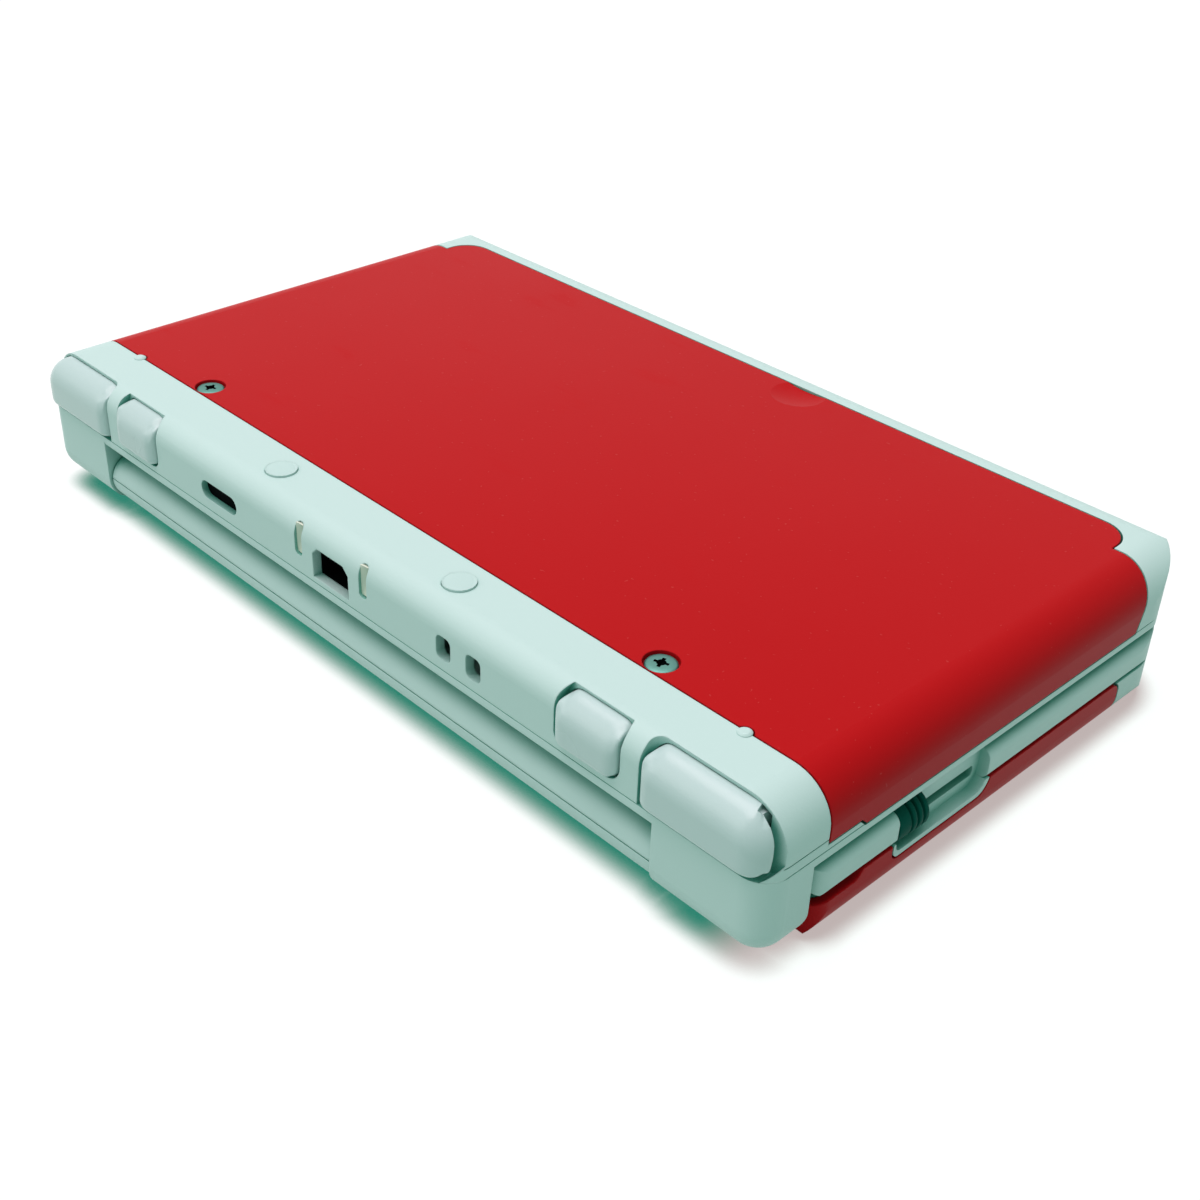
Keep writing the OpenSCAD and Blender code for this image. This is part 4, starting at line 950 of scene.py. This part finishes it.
class CONSOLE_OT_contacts(bpy.types.Operator):
    """Model the two scooped charging contacts beside the charging port"""

    bl_idname = "console.contacts"
    bl_label = "Charging contacts"

    def execute(self, context):
        low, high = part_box("charge_contacts")
        middle = (low.x + high.x) / 2
        pitch = (high.x - low.x) / 2 - 0.4 * MM
        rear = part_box("rear_housing")[0].y
        model = Model("charging_contact_leaves")
        for x in (middle - pitch, middle + pitch):
            model.block(
                (x - CONTACT_WIDTH / 2, rear + 0.35 * MM, low.z),
                (x + CONTACT_WIDTH / 2, high.y, high.z),
                cuts=14,
            )
        for v in model.bm.verts:
            to_middle = pitch if v.co.x < middle else -pitch
            across = (v.co.x - middle + to_middle) / CONTACT_WIDTH + 0.5
            up = (v.co.z - low.z) / (high.z - low.z)
            scoop = 1.1 * MM * across * min(up * 3.0, 1.0) * min((1.0 - up) * 5.0 + 0.2, 1.0)
            if v.co.y < high.y - 0.2 * MM:
                v.co.y += scoop * (high.y - v.co.y) / (high.y - rear)
        leaves = model.smooth(1).object(context, "contact", smooth_angle=CAP_ANGLE)
        stand_for(leaves, "charge_contacts", "base")
        return {"FINISHED"}


class CONSOLE_OT_feet(bpy.types.Operator):
    """Model the two domed rubber feet"""

    bl_idname = "console.feet"
    bl_label = "Rubber feet"

    def execute(self, context):
        low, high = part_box("rubber_feet")
        radius = (high.y - low.y) / 2
        proud = high.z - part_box("rear_housing")[1].z
        bottom = low.z - high.z
        profile = [
            (0.0, 0.0),
            (radius * 0.5, -0.01 * MM),
            (radius * 0.8, -0.04 * MM),
            (radius * 0.93, -0.09 * MM),
            (radius, -proud * 0.8),
            (radius, bottom),
            (0.0, bottom),
        ]
        model = Model("foot_pads")
        for x in (low.x + radius, high.x - radius):
            model.lathe(profile, (x, (low.y + high.y) / 2, high.z))
        feet = model.object(context, "rubber", smooth_angle=CAP_ANGLE)
        stand_for(feet, "rubber_feet", "base")
        return {"FINISHED"}


# ---------- studio ----------

# Soft boxes: name, place, size, power and tint
LAMPS = (
    ("overhead soft box", (-0.20, -0.10, 1.30), 1.10, 14.6, (1.0, 0.85, 0.91)),
    ("rear side soft box", (-0.75, -1.00, 0.70), 0.90, 2.6, (1.0, 0.915, 0.93)),
)
LAMP_TARGET = Vector((0.0, 0.0, 0.010))
AROUND, WHITE = (0.182, 0.350, 0.301), (1.0, 1.0, 1.0)  # surroundings unseen and seen

# The camera, as it was worked out from the photograph's outlines
AZIMUTH, ELEVATION, ROLL = math.radians(44.87), math.radians(33.14), math.radians(2.29)
CAMERA_PLACE = (0.1426, -0.13691, 0.12437)
LENS = 49.17  # millimetres, on a sensor 36 mm wide


class CONSOLE_OT_stage(bpy.types.Operator):
    """Add the floor, the soft lights and the camera"""

    bl_idname = "console.stage"
    bl_label = "Studio"

    def execute(self, context):
        self.add_floor(context)
        self.add_world(context)
        for lamp in LAMPS:
            self.add_lamp(context, *lamp)
        self.add_camera(context)
        return {"FINISHED"}

    def add_floor(self, context):
        """A pale floor that shows white to the camera and keeps the shadow."""
        mesh = bpy.data.meshes.new("floor")
        bm = bmesh.new()
        size = context.scene.console_sizes.floor / 2
        bmesh.ops.create_grid(bm, x_segments=1, y_segments=1, size=size)
        bm.to_mesh(mesh)
        bm.free()
        mesh.materials.append(floor_white_painted_shade())
        floor = bpy.data.objects.new("floor", mesh)
        context.scene.collection.objects.link(floor)

    def add_world(self, context):
        """Even pale surroundings, white where they are seen."""
        world = bpy.data.worlds.new("studio")
        world.use_nodes = True
        context.scene.world = world
        graph = Graph(world.node_tree)
        tint = graph.mix(graph.seen_rays(), AROUND, WHITE)
        graph.put(graph.tree.nodes["Background"].inputs["Color"], tint)

    def add_lamp(self, context, name, place, size, power, tint):
        """A square soft box, aimed at the console."""
        data = bpy.data.lights.new(name, "AREA")
        data.color = tint
        data.size = size
        data.energy = power
        lamp = bpy.data.objects.new(name, data)
        lamp.location = place
        lamp.rotation_euler = (LAMP_TARGET - Vector(place)).to_track_quat("-Z", "Y").to_euler()
        context.scene.collection.objects.link(lamp)

    def add_camera(self, context):
        """The camera at the photograph's viewing angle."""
        flat = math.cos(ELEVATION)
        back = Vector((math.sin(AZIMUTH) * flat, -math.cos(AZIMUTH) * flat, math.sin(ELEVATION)))
        right = Vector((math.cos(AZIMUTH), math.sin(AZIMUTH), 0.0))
        up = back.cross(right)
        turned_right = math.cos(ROLL) * right + math.sin(ROLL) * up
        turned_up = -math.sin(ROLL) * right + math.cos(ROLL) * up
        facing = Matrix((turned_right, turned_up, back)).transposed().to_4x4()
        data = bpy.data.cameras.new("camera")
        data.sensor_width = 36.0
        data.lens = LENS
        data.clip_start = 0.01
        camera = bpy.data.objects.new("camera", data)
        camera.matrix_world = Matrix.Translation(CAMERA_PLACE) @ facing
        context.scene.collection.objects.link(camera)
        context.scene.camera = camera
        context.scene.view_settings.view_transform = "Standard"


# ---------- panel ----------


OPERATORS = (
    CONSOLE_OT_finishes,
    CONSOLE_OT_shoulder_buttons,
    CONSOLE_OT_triggers,
    CONSOLE_OT_sliders,
    CONSOLE_OT_controls,
    CONSOLE_OT_screws,
    CONSOLE_OT_contacts,
    CONSOLE_OT_feet,
    CONSOLE_OT_stage,
)


class CONSOLE_PT_panel(bpy.types.Panel):
    """Lists the console's pieces in the order they are made"""

    bl_idname = "CONSOLE_PT_panel"
    bl_label = "Handheld Console"
    bl_space_type = "VIEW_3D"
    bl_region_type = "UI"
    bl_category = "Console"

    def draw(self, context):
        for operator in OPERATORS:
            self.layout.operator(operator.bl_idname)


CLASSES = (ConsoleColours, ConsoleSizes, *OPERATORS, CONSOLE_PT_panel)


def register():
    """Registers the settings, the operators and the panel."""
    for cls in CLASSES:
        bpy.utils.register_class(cls)
    bpy.types.Scene.console_colours = PointerProperty(type=ConsoleColours)
    bpy.types.Scene.console_sizes = PointerProperty(type=ConsoleSizes)


def unregister():
    """Takes back what register did."""
    del bpy.types.Scene.console_sizes
    del bpy.types.Scene.console_colours
    for cls in reversed(CLASSES):
        bpy.utils.unregister_class(cls)


def main():
    """Makes every group in order."""
    register()
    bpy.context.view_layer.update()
    for operator in OPERATORS:
        group, name = operator.bl_idname.split(".")
        getattr(getattr(bpy.ops, group), name)()


if __name__ == "__main__":
    main()
